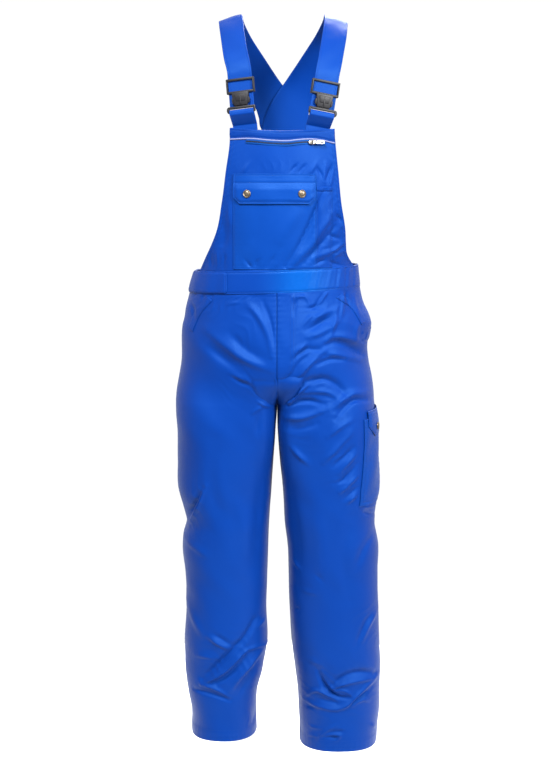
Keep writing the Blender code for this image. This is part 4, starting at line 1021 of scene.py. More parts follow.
def makeWaistband():
    bottom, top = garment["waistBottom"], garment["waistTop"]
    heights = top + (bottom - top) * spaced(top - bottom, 0.0026)
    nets = {}
    for face, back in (("front", False), ("back", True)):
        turns = -1 + garment["seamTurn"] + 2 * (1 - garment["seamTurn"]) * spaced(0.42, 0.0021)
        base = surfaceNet(bandSurface(back), turns, heights)
        x, z = base.points[..., 0], base.points[..., 2]
        edges = edgeDistances(base.points)
        rim = np.minimum(edges["top"], edges["bottom"])
        ends = ease(np.minimum(edges["first"], edges["last"]) / 0.010)
        swell = 0.0007 * ease(rim / 0.007)
        height = swell + dip(rim, 0.0022) + 0.0003 * np.sin(x * 120 + 0.8 * np.sin(x * 50)) * ends
        down = (top - z) / (top - bottom)
        if back:
            draw = ease((np.abs(base.u) - 0.30) / 0.10)
            height += 0.0008 * draw * ends * np.sin(base.u * math.pi * 15 + 0.5 * np.sin(down * 5 + base.u * 9))
        else:
            for upper, lower, width, tall in waistband["gathers"]:
                line = upper + (lower - upper) * down
                height += tall / 1000 * np.exp(-((x - line) / (width / 1000)) ** 2) * ease(rim / 0.004) * ends
            height += crumple(x, z, waistband["crumples"]) * ease(rim / 0.006)
        net = base.raised(height)
        nets[face] = net
        piece = shell(f"waistband{face.title()}", net.points, base.behind(height, garment["bandCloth"]),
                      finishes["waist"], ("top", "bottom"), stands=[f"waistband_{face}"])
        waistband[face + "Flat"]
        for side in ("top", "bottom"):
            sewLine("trousers", edgeLine(net, side, 0.0022, (0.002, 0.002)))
    return nets


waistNets = makeWaistband()


def makeTab():
    end, half, corner, start = -0.0998, 0.0200, 0.005, -0.9975
    middle = (garment["waistTop"] + garment["waistBottom"]) / 2
    down = middle + half - 2 * half * spaced(2 * half, 0.0024)
    beyond = np.clip((np.abs(down - middle) - (half - corner)) / corner, 0, 0.999)
    reach = end - corner + corner * np.sqrt(1 - beyond ** 2)
    right, left = trunk.at("right", down), trunk.at("left", down)
    reach = np.arcsin((reach - (right + left) / 2) / ((left - right) / 2)) / (math.pi / 2)
    share, heights = np.meshgrid(spaced(0.10, 0.0026), down)
    first = start + (reach[:, None] - start) * share

    def relief(edges):
        rim = np.minimum(np.minimum(edges["top"], edges["bottom"]), edges["last"])
        return dip(rim, 0.0022) + 0.0006 * ease(rim / 0.005) + 0.0003 * np.sin(edges["first"] * 160)

    net, low, _ = laidPatch(waistNets["front"], first, heights, garment["seamGap"], garment["pocketCloth"], relief)
    piece = shell("waistTab", net.points, low, finishes["twill"], stands=["waist_tab"])
    for side in ("top", "bottom"):
        sewLine("trousers", edgeLine(net, side, 0.0022, (0.002, 0.006)))
    sewLine("trousers", edgeLine(net, "last", 0.0022, (0.006, 0.006)))


makeTab()
print("waistband made")


# Bib

def chestSurface(edges, back, top):
    # Across runs 0 to 1 between the side edges, up runs 0 to 1 from the waistband
    def surface(across, up):
        bottom = garment["waistTop"] + garment["seamGap"]
        z = bottom + (top(across) - bottom) * up
        x = edges.at("right", z) + (edges.at("left", z) - edges.at("right", z)) * across
        right, left = trunk.at("right", z), trunk.at("left", z)
        beside = np.clip(np.abs(x - (right + left) / 2) / ((left - right) / 2), 0, 0.999)
        if back:
            square = edges.at("square", z)
            y = trunk.at("back", z) * (1 - beside ** square) ** (1 / square)
        else:
            y = -trunk.at("front", z) * np.sqrt(1 - beside ** 2)
        return np.stack((x, y, z + waistRise(x, z) * (1 - up) ** 4), axis=-1)
    return surface


bib = {
    "flat": (0.33, 0.28), "area": 0.066, "bandFlat": (0.205, 0.0185), "pipingFlat": (0.21, 0.010), "pipingArea": 0.00095,
    "tapeFlat": (0.153, 0.010), "pocketFlat": (0.165, 0.178), "flapFlat": (0.158, 0.061), "pencilFlat": (0.031, 0.16),
    "piping": 0.0028,
    "zip": (-0.0630, 0.0860, 0.0075),
    "pocket": (-0.0870, 0.0697, -0.306, -0.4777),
    "flap": {"right": -0.0858, "left": 0.0668, "top": -0.2984, "side": -0.3425, "corner": 0.0115},
    "pencil": (0.0702, 0.0990, -0.3226, -0.4755),
    "snaps": (("right", -0.0593), ("left", 0.0414)),
    "snapHeight": -0.3353,
}
pipingLine = Sections("z         down",
                      (0.130, -0.2420), (0.104, -0.2405), (0.080, -0.2355), (0.059, -0.2335), (0.038, -0.2345),
                      (0.016, -0.2368), (-0.018, -0.2358), (-0.055, -0.2325), (-0.093, -0.2335), (-0.120, -0.2340))


def bibTop(across):
    return -0.2125 - 0.0050 * np.sin(math.pi * across) - 0.0015 * across


def makeBib():
    base = surfaceNet(chestSurface(bibShape, False, bibTop), spaced(0.24, 0.0016), spaced(0.27, 0.0017))
    x, z = base.points[..., 0], base.points[..., 2]
    edges = edgeDistances(base.points)
    sides = np.minimum(edges["first"], edges["last"])
    rim = np.minimum(sides, np.minimum(edges["top"], edges["bottom"]))
    fade = ease(sides / 0.006) * ease(edges["top"] / 0.004) * ease(edges["bottom"] / 0.004)
    height = (foldRelief(x, z, bibFolds) + crumple(x, z, bibCrumples) + 0.7 * drift(x, z, 4.1)) * fade
    height += 0.0004 * ease((0.0100 - sides) / 0.0016) + dip(sides, 0.0018) + dip(sides, 0.0072)
    height += pucker(edges["top"], sides, 0.00022)
    net = base.raised(height)
    piece = shell("bibPanel", net.points, base.behind(height, garment["cloth"]), finishes["twill"], stands=["bib"])
    for side in ("first", "last"):
        for row in (0.0018, 0.0072):
            sewLine("top", edgeLine(net, side, row, (0.004, 0.004)))
    return net


bibNet = makeBib()
bibGround = Ground(bibNet)


def makeBand():
    across = np.linspace(float(bibNet.points[-1, 0, 0]), float(bibNet.points[-1, -1, 0]), 91)
    low = pipingLine.at("down", across) + bib["piping"] / 2 + garment["seamGap"]
    high = np.interp(across, np.sort(bibNet.points[-2, :, 0]), bibNet.points[-2, np.argsort(bibNet.points[-2, :, 0]), 2])
    share = spaced(0.024, 0.0022)
    first, part = np.meshgrid(across, share)
    up = high - 0.0002 + (low - high + 0.0002) * part

    def relief(edges):
        rim = np.minimum(edges["top"], edges["bottom"])
        return (dip(edges["top"], 0.0030) + dip(edges["bottom"], 0.0020) + 0.0007 * ease(rim / 0.006)
                + 0.0003 * np.sin(edges["first"] * 130 + 2 * np.sin(edges["first"] * 31)))

    net, under, _ = laidPatch(bibGround, first, up, garment["seamGap"], garment["pocketCloth"], relief)
    # Its finish is the darker twill: painted shade.
    piece = shell("bibBand", net.points, under, finishes["band"], stands=["bib_band"])
    sewLine("top", edgeLine(net, "top", 0.0030, (0.002, 0.002)))
    sewLine("top", edgeLine(net, "bottom", 0.0020, (0.002, 0.002)))

    # The piping is a cord under a fold of pale cloth
    half = bib["piping"] / 2
    rows = np.sin(np.linspace(-math.pi / 2, math.pi / 2, 9))
    line = np.linspace(across[0], across[-1], 161)
    first, share = np.meshgrid(line, rows)
    up = pipingLine.at("down", first) - share * half

    def bulge(edges):
        return 0.0015 * np.sqrt(np.clip(1 - rows ** 2, 0, 1))[:, None] + np.zeros_like(edges["first"]) - 0.0017

    net, under, _ = laidPatch(bibGround, first, up, garment["seamGap"], 0.0020, bulge)
    piece = shell("pipingCord", net.points, under, finishes["piping"], ("first", "last"), stands=["piping"])

    # Zip tapes, with the teeth along their middle
    right, left, tall = bib["zip"]
    line = np.linspace(right, left, 91)
    share = spaced(tall, 0.0010, (0, 0.0004, 0.0010))
    first, part = np.meshgrid(line, share)
    top = pipingLine.at("down", first) - half - garment["seamGap"]
    net, under, _ = laidPatch(bibGround, first, top - tall * part, garment["seamGap"], 0.0010,
                              lambda edges: 0.0004 * np.sin(edges["first"] * 90) - dip(edges["top"], tall / 2, -0.0005, 0.0006))
    piece = shell("zipTape", net.points, under, finishes["zipTape"], stands=["zip_tape"])
    return net


tapeNet = makeBand()


def chestFullness(x, z):
    right, left, top, bottom = bib["pocket"]
    wide = np.clip((x - right) / (left - right), 0, 1)
    high = np.clip((z - bottom) / (top - bottom), 0, 1)
    return garment["seamGap"] + 0.0022 * np.sin(math.pi * wide) * np.sin(math.pi * high)


def overChestPocket(x, z):
    swell = ease((bib["flap"]["top"] - z) / 0.03)
    return chestFullness(x, z) + garment["pocketCloth"] + garment["seamGap"] + 0.0022 * swell


def pocketRelief(edges):
    sides = np.minimum(np.minimum(edges["first"], edges["last"]), edges["bottom"])
    return dip(sides, 0.0018, 0.0004) + pucker(edges["top"], sides, 0.0002)


def makePockets():
    cloth = garment["pocketCloth"]
    first, up = rectangle(*bib["pocket"])
    net, under, _ = laidPatch(bibGround, first, up, chestFullness, cloth, pocketRelief)
    piece = shell("chestPocket", net.points, under, finishes["pocket"], stands=["chest_pocket"])
    for side in ("first", "last"):
        sewLine("top", edgeLine(net, side, 0.0018, (0.05, 0.002)))

    flap = bib["flap"]
    low = flap["side"] - flap["corner"]
    down = flap["top"] + (low - flap["top"]) * spaced(flap["top"] - low, 0.0020)
    cut = np.clip(flap["side"] - down, 0, None)[:, None]
    share, heights = np.meshgrid(spaced(0.152, 0.0024), down)
    first = (flap["right"] + cut) + (flap["left"] - flap["right"] - 2 * cut) * share

    def relief(edges):
        rim = np.minimum(np.minimum(edges["first"], edges["last"]), edges["bottom"])
        middle = ease((edges["top"] - 0.0185) / 0.012) * ease(edges["bottom"] / 0.009)
        return (0.0016 * middle * ease(rim / 0.010) + dip(rim, 0.0028, 0.0005) + dip(edges["top"], 0.0165, 0.0010, 0.0016)
                + dip(edges["top"], 0.0025, 0.0004) + 0.00035 * np.sin(edges["first"] * 95 + 60 * edges["top"]) * middle)

    net, under, _ = laidPatch(bibGround, first, heights, overChestPocket, cloth, relief)
    piece = shell("chestFlap", net.points, under, finishes["pocket"], stands=["pocket_flap"])
    for side in ("first", "last"):
        sewLine("top", edgeLine(net, side, 0.0028, (0.002, 0.003)))
    sewLine("top", edgeLine(net, "bottom", 0.0028, (0.003, 0.003)))
    sewLine("top", edgeLine(net, "top", 0.0025, (0.003, 0.003)))
    sewLine("top", edgeLine(net, "top", 0.0165, (0.003, 0.003)))

    first, up = rectangle(*bib["pencil"], step=0.0022)
    net, under, _ = laidPatch(
        bibGround, first, up, garment["seamGap"], cloth,
        lambda edges: dip(np.minimum(edges["first"], edges["last"]), 0.0018, 0.0004)
        + dip(edges["top"], 0.0085, 0.0006, 0.0012) + 0.0010 * ease((0.008 - edges["top"]) / 0.002)
        + 0.0009 * ease(np.minimum(edges["first"], edges["last"]) / 0.010) * ease(edges["bottom"] / 0.03))
    piece = shell("pencilPocket", net.points, under, finishes["twill"], stands=["pencil_pocket"])
    for side in ("first", "last"):
        sewLine("top", edgeLine(net, side, 0.0018, (0.002, 0.002)))
    sewLine("top", edgeLine(net, "top", 0.0072, (0.002, 0.002)))


makePockets()
print("bib made")


# Pockets on the legs

hipWelts = {"width": 0.011, "cloth": 0.0008, "flat": (0.013, 0.100),
            "left": ((0.118, -0.5270), (0.147, -0.548), (0.169, -0.582)),
            "right": ((-0.138, -0.5325), (-0.160, -0.557), (-0.178, -0.595))}


def makeHipWelts():
    for side, ground in (("left", frontLeft), ("right", frontRight)):
        sign = garment["sign"][side]
        line = smoothPath(hipWelts[side], 40)
        share = spaced(hipWelts["width"], 0.0018, (0, 0.0005, 0.0012, 0.0018, 0.0024))
        part, _ = np.meshgrid(share, np.arange(len(line)))
        inset = np.array([-sign * 0.8, -0.6]) * hipWelts["width"]
        first = line[:, None, 0] + part * inset[0]
        up = line[:, None, 1] + part * inset[1]

        def relief(edges):
            return 0.0002 * ease(edges["first"] / 0.002) + dip(edges["last"], 0.0018, 0.0002)

        net, under, _ = laidPatch(ground, first, up, garment["seamGap"], hipWelts["cloth"], relief)
        piece = shell(f"hipWelt{side.title()}", net.points, under, finishes["twill"], stands=[f"hip_welt_{side}"])
        sewLine("trousers", edgeLine(net, "last", 0.0018, (0.001, 0.001)))


makeHipWelts()

cargo = {
    "pocket": (-0.086, 0.072, -0.772, -0.9435), "bulge": 0.0026, "flat": (0.178, 0.176),
    "flap": {"front": -0.077, "back": 0.064, "top": -0.757, "side": -0.788, "bottom": -0.808, "corner": 0.024},
    "flapFlat": (0.17, 0.054),
    "snaps": (("front", -0.043), ("back", 0.030)), "snapHeight": -0.790,
}


def sideGround():
    # Both halves of the wearer's left leg as one ground, seen from that side
    grounds = [Ground(legNets[face, "left"], "X") for face in ("front", "back")]

    class Both:
        def find(self, first, up):
            frontFound, backFound = (ground.find(first, up) for ground in grounds)
            ahead = (first < 0)[..., None]
            places = np.where(ahead, frontFound[0], backFound[0])
            blend = ease((first + 0.012) / 0.024)[..., None]
            ways = frontFound[1] * (1 - blend) + backFound[1] * blend
            return places, ways / np.linalg.norm(ways, axis=-1, keepdims=True)
    return Both()


legSide = sideGround()


def cargoFullness(y, z):
    front, back, top, bottom = cargo["pocket"]
    wide = np.clip((y - front) / (back - front), 0, 1)
    high = np.clip((z - bottom) / (top - bottom), 0, 1)
    return 2 * garment["seamGap"] + 0.0004 + cargo["bulge"] * np.sin(math.pi * wide) * np.sin(math.pi * high) ** 0.7


def overCargoPocket(y, z):
    return cargoFullness(y, z) + garment["pocketCloth"] + garment["seamGap"] + 0.0006


def makeCargoPocket():
    first, up = rectangle(*cargo["pocket"], step=0.0030)

    def relief(edges):
        rim = np.minimum(np.minimum(edges["first"], edges["last"]), edges["bottom"])
        slack = 0.0012 * np.sin(edges["first"] * 70 + edges["top"] * 55) * ease(rim / 0.02) * ease(edges["top"] / 0.03)
        return slack + dip(rim, 0.0018, 0.0004) + dip(rim, 0.0070, 0.0003) + pucker(edges["top"], rim, 0.0003)

    net, under, _ = laidPatch(legSide, first, up, cargoFullness, garment["pocketCloth"], relief)
    piece = shell("cargoPocket", net.points, under, finishes["pocket"], stands=["cargo_pocket"])
    for row in (0.0018, 0.0070):
        for side in ("first", "last"):
            sewLine("trousers", edgeLine(net, side, row, (0.004, row)))
        sewLine("trousers", edgeLine(net, "bottom", row, (row, row)))

    flap = cargo["flap"]
    down = flap["top"] + (flap["bottom"] - flap["top"]) * spaced(flap["top"] - flap["bottom"], 0.0022)
    cut = np.clip((flap["side"] - down) / (flap["side"] - flap["bottom"]), 0, 1)[:, None] * flap["corner"]
    share, heights = np.meshgrid(spaced(0.141, 0.0026), down)
    first = (flap["front"] + cut) + (flap["back"] - flap["front"] - 2 * cut) * share

    def flapRelief(edges):
        rim = np.minimum(np.minimum(edges["first"], edges["last"]), edges["bottom"])
        return (0.0012 * ease(rim / 0.012) * ease(edges["top"] / 0.012) + dip(rim, 0.0026, 0.0004)
                + dip(edges["top"], 0.0024, 0.0004) + dip(edges["top"], 0.0085, 0.0004))

    net, under, _ = laidPatch(legSide, first, heights, overCargoPocket, garment["pocketCloth"], flapRelief)
    piece = shell("cargoFlap", net.points, under, finishes["pocket"], stands=["cargo_flap"])
    for side in ("first", "last"):
        sewLine("trousers", edgeLine(net, side, 0.0026, (0.002, 0.003)))
    sewLine("trousers", edgeLine(net, "bottom", 0.0026, (0.003, 0.003)))
    for row in (0.0024, 0.0085):
        sewLine("trousers", edgeLine(net, "top", row, (0.003, 0.003)))


makeCargoPocket()


# Back panel and straps

def makeBack():
    base = surfaceNet(chestSurface(backShape, True, lambda across: -0.1785 + 0 * across),
                      spaced(0.17, 0.0028), spaced(0.30, 0.0030))
    x, z = base.points[..., 0], base.points[..., 2]
    edges = edgeDistances(base.points)
    sides = np.minimum(edges["first"], edges["last"])
    fade = ease(sides / 0.008) * ease(edges["top"] / 0.004) * ease(edges["bottom"] / 0.004)
    height = (foldRelief(x, z, backFolds) + crumple(x, z, backCrumples) + 0.6 * drift(x, z, 5.2)) * fade
    height += 0.0004 * ease((0.0100 - sides) / 0.0016) + dip(sides, 0.0018) + dip(sides, 0.0072)
    net = base.raised(height)
    piece = shell("backPanel", net.points, base.behind(height, garment["cloth"]), finishes["twill"],
                  stands=["back_panel"])
    for side in ("first", "last"):
        for row in (0.0018, 0.0072):
            sewLine("top", edgeLine(net, side, row, (0.004, 0.004)))
    sewLine("top", edgeLine(net, "bottom", 0.0022, (0.004, 0.004)))


makeBack()

straps = {
    "width": 0.046, "cloth": 0.0020, "flat": (0.091, 0.56), "area": 0.0285, "lowerFlat": (0.046, 0.125), "lowerCloth": 0.0016,
    "buckleHeight": -0.138,
    "yoke": ((0.037, 0), (0.080, 0.006), (0.125, 0.019), (0.165, 0.039), (0.200, 0.045), (0.232, 0.045)),
    "right": ((-0.0700, -0.1040, -0.176), (-0.0722, -0.1013, -0.149), (-0.0744, -0.0985, -0.122),
              (-0.0758, -0.0966, -0.106), (-0.0819, -0.0850, -0.080), (-0.0882, -0.0600, -0.0455),
              (-0.0925, -0.030, -0.0155), (-0.0947, 0.0, 0.001), (-0.0930, 0.035, -0.009),
              (-0.0790, 0.070, -0.037), (-0.0500, 0.1010, -0.080), (-0.0190, 0.1215, -0.125),
              (0.0120, 0.1248, -0.165), (0.0310, 0.1251, -0.200), (0.0335, 0.1251, -0.232)),
    "left": ((0.0795, -0.1040, -0.180), (0.0834, -0.1015, -0.155), (0.0873, -0.0990, -0.130),
             (0.0898, -0.0972, -0.114), (0.0955, -0.0860, -0.086), (0.1035, -0.0600, -0.0455),
             (0.1080, -0.030, -0.0155), (0.1096, 0.0, 0.001), (0.1070, 0.035, -0.009),
             (0.0920, 0.070, -0.037), (0.0630, 0.0985, -0.080), (0.0320, 0.1170, -0.125),
             (0.0040, 0.1213, -0.165), (-0.0105, 0.1219, -0.200), (-0.0130, 0.1220, -0.232)),
}


def outward(points):
    # Away from the wearer: to the front on the chest, up on the shoulders and back behind them
    x, y, z = np.array(points).T
    sideways = 0.33 * (x - 0.0065) * (1 - ease((y - 0.08) / 0.03))
    out = np.stack((sideways, y, np.maximum(z + 0.115, 0)), axis=-1)
    return out / np.linalg.norm(out, axis=1, keepdims=True)


def ribbonNets(centres, across, halves, cloth, relief):
    along = np.gradient(centres, axis=0)
    thick = np.cross(across, along)
    thick /= np.linalg.norm(thick, axis=1, keepdims=True)
    across = np.cross(along, thick)
    across /= np.linalg.norm(across, axis=1, keepdims=True)
    if np.sum(thick * outward(centres)) < 0:
        thick = -thick
    share = spaced(straps["width"], 0.0030, (0, 0.0005, 0.0012, 0.0020, 0.0028, 0.0036, 0.0050))
    first, last = (np.broadcast_to(half, len(centres))[:, None] for half in halves)
    side = share[None, :] * (first + last) - first
    middle = centres[:, None] + across[:, None] * side[..., None]
    out = np.broadcast_to(thick[:, None], middle.shape)
    lift = relief(edgeDistances(middle))
    outer = middle + out * (cloth / 2 + lift)[..., None]
    inner = middle - out * (cloth / 2 - lift)[..., None]
    return Net(outer, out), inner


def makeStraps():
    for side in ("right", "left"):
        coarse = smoothPath(straps[side], 40)
        centres = smoothPath(coarse, 200)
        across = np.cross(np.gradient(centres, axis=0), outward(centres))
        across /= np.linalg.norm(across, axis=1, keepdims=True)
        slant = 1 if side == "right" else -1
        drop = np.interp(-centres[:, 2], *zip(*straps["yoke"])) * (centres[:, 1] > 0)
        half = straps["width"] / 2
        halves = (half + drop, half) if side == "right" else (half, half + drop)

        def relief(edges):
            rim = np.minimum(edges["first"], edges["last"])
            length = edges["top"]
            clear = ease((length - 0.066) / 0.02)
            waves = 0.0007 * np.sin(length * 75 + slant * edges["first"] * 95) + 0.0005 * np.sin(length * 31 + slant)
            beside = 2 * edges["first"] / (edges["first"] + edges["last"]) - 1
            cup = -0.0012 * ease((length - 0.09) / 0.05) * beside ** 2 * ease(edges["bottom"] / 0.10)
            return 0.8 * waves * clear * ease(edges["bottom"] / 0.02) + cup + dip(rim, 0.0028, 0.0003)

        net, under = ribbonNets(centres, across, halves, straps["cloth"], relief)
        piece = shell(f"strap{side.title()}", net.points, under, finishes["strap"],
                      stands=[f"strap_{side}"])
        for edge in ("first", "last"):
            sewLine("top", edgeLine(net, edge, 0.0028, (0.002, 0.002)))
        sewLine("top", edgeLine(net, "top", 0.0030, (0.003, 0.003)))
        sewLine("top", edgeLine(net, "top", 0.0140, (0.003, 0.003)))
        for distance in (0.0030, 0.0330):
            sewLine("top", edgeLine(net, "bottom", distance, (0.004, 0.004)))
        boxEnds(net)
        makeBuckle(side, coarse)


def boxEnds(net):
    # The cross sewn through the strap and the back panel
    rows = edgeDistances(net.points)["bottom"][:, 0]
    low, high = np.argmin(np.abs(rows - 0.003)), np.argmin(np.abs(rows - 0.033))
    columns = net.points.shape[1]
    for start, end in ((3, columns - 4), (columns - 4, 3)):
        count = abs(high - low) + 1
        places = np.linspace(start, end, count).round().astype(int)
        spots = np.linspace(low, high, count).round().astype(int)
        line, out = net.points[spots, places], net.normals[spots, places]
        steady = smoothPath([line[0], line[count // 2], line[-1]], 20)
        sewLine("top", (steady, np.repeat(out[count // 2][None], 20, axis=0)))


# Buckles, snaps and zip

def placed(place, out, up=(0, 0, 1)):
    # A matrix with local -Y along the outward direction and local Z near up
    y = -Vector(out).normalized()
    up = Vector(up)
    if abs(y.dot(up.normalized())) > 0.99:
        up = Vector((0, 1, 0))
    x = y.cross(up).normalized()
    z = x.cross(y)
    return Matrix.Translation(Vector(place)) @ Matrix((x, y, z)).transposed().to_4x4()


def block(outline, near, far, bevel=0.0005, segments=3):
    # An outline in x and z pushed along y, with rounded edges
    form = bmesh.new()
    rings = [[form.verts.new((x, depth, z)) for x, z in outline] for depth in (near, far)]
    form.faces.new(rings[0])
    form.faces.new(rings[1][::-1])
    for here in range(len(outline)):
        there = (here + 1) % len(outline)
        form.faces.new((rings[0][here], rings[1][here], rings[1][there], rings[0][there]))
    bmesh.ops.recalc_face_normals(form, faces=form.faces)
    if bevel:
        bmesh.ops.bevel(form, geom=form.edges[:], offset=bevel, segments=segments, profile=0.5, affect="EDGES",
                        clamp_overlap=True)
    return form


def bar(width, depth, height, x, y, z, bevel=0.0005):
    w, d, h = width / 2, depth / 2, height / 2
    return block([(x - w, z - h), (x + w, z - h), (x + w, z + h), (x - w, z + h)], y - d, y + d, bevel)


def turnedForm(profile, sides=48, axis="Y"):
    # A round piece from a profile of radius and height
    form = bmesh.new()
    rings = []
    for radius, height in profile:
        if radius < 1e-7:
            rings.append([form.verts.new((0, -height, 0) if axis == "Y" else (0, 0, height))])
            continue
        ring = []
        for side in range(sides):
            angle = 2 * math.pi * side / sides
            a, b = radius * math.cos(angle), radius * math.sin(angle)
            ring.append(form.verts.new((a, -height, b) if axis == "Y" else (a, b, height)))
        rings.append(ring)
    for low, high in zip(rings, rings[1:]):
        for side in range(sides):
            after = (side + 1) % sides
            corners = [low[side % len(low)], low[after % len(low)], high[after % len(high)], high[side % len(high)]]
            corners = [corner for number, corner in enumerate(corners) if corner not in corners[:number]]
            if len(corners) > 2:
                form.faces.new(corners)
    bmesh.ops.recalc_face_normals(form, faces=form.faces)
    return form


def joinForms(name, forms, finish, place, stands=(), body="garment"):
    whole = bmesh.new()
    for form in forms:
        mesh = bpy.data.meshes.new("part")
        form.to_mesh(mesh)
        whole.from_mesh(mesh)
        form.free()
        bpy.data.meshes.remove(mesh)
    whole.transform(place)
    mesh = bpy.data.meshes.new(name)
    whole.to_mesh(mesh)
    whole.free()
    thing = bpy.data.objects.new(name, mesh)
    bpy.context.scene.collection.objects.link(thing)
    mesh.materials.append(finish)
    mesh.shade_smooth()
    mesh.set_sharp_from_angle(angle=math.radians(38))
    return carry(thing, stands, body)


buckle = {"half": 0.0270, "sideBar": 0.0026, "tall": 0.0280, "deep": 0.0028}


def makeBuckle(side, centres):
    # Local X is across the strap, -Y out of the chest and Z up along the strap
    station = int(np.abs(centres[:12, 2] - straps["buckleHeight"]).argmin())
    up = centres[station + 1] - centres[station - 1]
    out = outward([centres[station]])[0]
    out = out - up * np.dot(out, up) / np.dot(up, up)
    here = placed(centres[station], out, up)
    half, sideBar, tall, deep = buckle["half"], buckle["sideBar"], buckle["tall"], buckle["deep"]
    clear = straps["cloth"] / 2 + 2 * garment["seamGap"]
    parts = [bar(sideBar, 2 * (clear + deep), tall, end * (half - sideBar / 2), 0, 0, 0.0008) for end in (-1, 1)]
    for height, thick, face in ((0.0118, 0.0044, -1), (-0.0118, 0.0044, -1), (0.0035, 0.0030, 1), (-0.0035, 0.0030, 1)):
        parts.append(bar(2 * half - 0.001, deep, thick, 0, face * (clear + deep / 2), height, 0.0009))
    # Grip ribs on the bottom bar of the frame
    for number in range(9):
        parts.append(bar(0.0012, 0.0008, 0.0036, (number - 4) * 0.0036, -clear - deep - 0.0001, -0.0118, 0.0003))
    body = [(-0.0165, -0.0125), (-0.0160, -0.0200), (-0.0142, -0.0265), (-0.0130, -0.0370), (0.0130, -0.0370),
            (0.0142, -0.0265), (0.0160, -0.0200), (0.0165, -0.0125)]
    parts.append(block(body, -clear - 0.0064, -clear, 0.0009))
    parts.append(block([(-0.0108, -0.0165), (-0.0085, -0.0290), (0.0085, -0.0290), (0.0108, -0.0165)],
                       -clear - 0.0075, -clear - 0.0030, 0.0007))
    parts.append(block([(-0.0014, -0.0175), (-0.0014, -0.0345), (0.0014, -0.0345), (0.0014, -0.0175)],
                       -clear - 0.0082, -clear - 0.0040, 0.0005))
    for end in (-1, 1):      # the springing arms that are pressed to open it
        parts.append(block([(end * 0.0148, -0.0215), (end * 0.0172, -0.0235), (end * 0.0168, -0.0325),
                            (end * 0.0138, -0.0345)][::end], -clear - 0.0052, -clear - 0.0012, 0.0006))
        for number in range(4):
            parts.append(bar(0.0010, 0.0034, 0.0008, end * 0.0172, -clear - 0.0032, -0.0248 - number * 0.0020, 0.0002))
    joinForms(f"buckleUpper{side.title()}", parts, finishes["plastic"], here,
              [f"buckle_upper_{side}"])

    top, slotTop, slotBottom, bottom = -0.0385, -0.0430, -0.0472, -0.0512
    near, far = -clear - 0.0052, -clear - 0.0012
    middle, thick = (near + far) / 2, far - near
    outer = -1 if side == "right" else 1
    parts = [bar(2 * half - 0.002, thick, top - slotTop, 0, middle, (top + slotTop) / 2, 0.0010),
             bar(2 * half - 0.002, thick, slotBottom - bottom, 0, middle, (slotBottom + bottom) / 2, 0.0012)]
    for end in (-1, 1):
        width = half - straps["width"] / 2
        parts.append(bar(width, thick, top - bottom - 0.0016, end * (half - width / 2), middle, (top + bottom) / 2, 0.0012))
    ring = [(half - 0.0030 + 0.0048 * math.cos(angle), (top + bottom) / 2 + 0.0064 * math.sin(angle))
            for angle in np.linspace(-math.pi / 2, math.pi / 2, 15)]
    inner = [(half - 0.0030 + 0.0026 * math.cos(angle), (top + bottom) / 2 + 0.0042 * math.sin(angle))
             for angle in np.linspace(math.pi / 2, -math.pi / 2, 15)]
    for start in range(14):
        quad = [ring[start], ring[start + 1], inner[13 - start], inner[14 - start]]
        parts.append(block([(outer * x, z) for x, z in quad][::outer], near + 0.0006, far - 0.0006, 0))
    parts.append(bar(0.0160, 0.0019, 0.0090, 0, -clear - 0.0032, -0.0350, 0.0004))
    for end in (-1, 1):
        parts.append(bar(0.0030, 0.0026, 0.0060, end * 0.0100, -clear - 0.0032, -0.0372, 0.0005))
    joinForms(f"buckleLower{side.title()}", parts, finishes["plastic"], here,
              [f"buckle_lower_{side}"])
    makeLowerStrap(side, here, near, far, slotTop, slotBottom)


def makeLowerStrap(side, here, near, far, slotTop, slotBottom):
    # The short strap goes up from behind the bib, round the lower bar, and down again
    cloth = straps["lowerCloth"]
    front = near - garment["seamGap"] - cloth / 2
    behind = far + garment["seamGap"] + cloth / 2
    radius = (behind - front) / 2
    height = slotBottom - radius + (slotTop - slotBottom) * 0.5 + cloth * 0.2
    arch = [(front + radius - radius * math.cos(angle), height + radius * math.sin(angle))
            for angle in np.linspace(0, math.pi, 7)]
    path = [(0.0094, -0.0980), (0.0084, -0.0720), (front, -0.0535), *arch, (behind, -0.0535), (0.0105, -0.0720),
            (0.0115, -0.0980)]
    local = np.array([tuple(here @ Vector((0, y, z))) for y, z in path])
    steps = np.concatenate(([0], np.cumsum(np.linalg.norm(np.diff(local, axis=0), axis=1))))
    where = np.linspace(0, steps[-1], 110)
    centres = np.stack([np.interp(where, steps, local[:, axis]) for axis in range(3)], axis=-1)
    widthWay = np.repeat(np.array(here.to_3x3() @ Vector((1, 0, 0)))[None], len(centres), axis=0)
    along = np.gradient(centres, axis=0)
    thick = np.cross(widthWay, along)
    thick /= np.linalg.norm(thick, axis=1, keepdims=True)
    shape = straps["width"] * (spaced(straps["width"], 0.0030, (0, 0.0005, 0.0012, 0.0020, 0.0028, 0.0036)) - 0.5)
    middle = centres[:, None] + widthWay[:, None] * shape[None, :, None]
    out = np.broadcast_to(thick[:, None], middle.shape)
    edges = edgeDistances(middle)
    rim = np.minimum(edges["first"], edges["last"])
    lift = dip(rim, 0.0028, 0.0002)
    outer = middle + out * (cloth / 2 + lift)[..., None]
    inner = middle - out * cloth / 2
    piece = shell(f"lowerStrap{side.title()}", outer, inner, finishes["strap"],
                  stands=[f"lower_strap_{side}"])
    net = Net(outer, out)
    for edge in ("first", "last"):
        sewLine("top", edgeLine(net, edge, 0.0028, (0.001, 0.001)))


makeStraps()
print("straps made")

snap = {"radius": 0.0075}


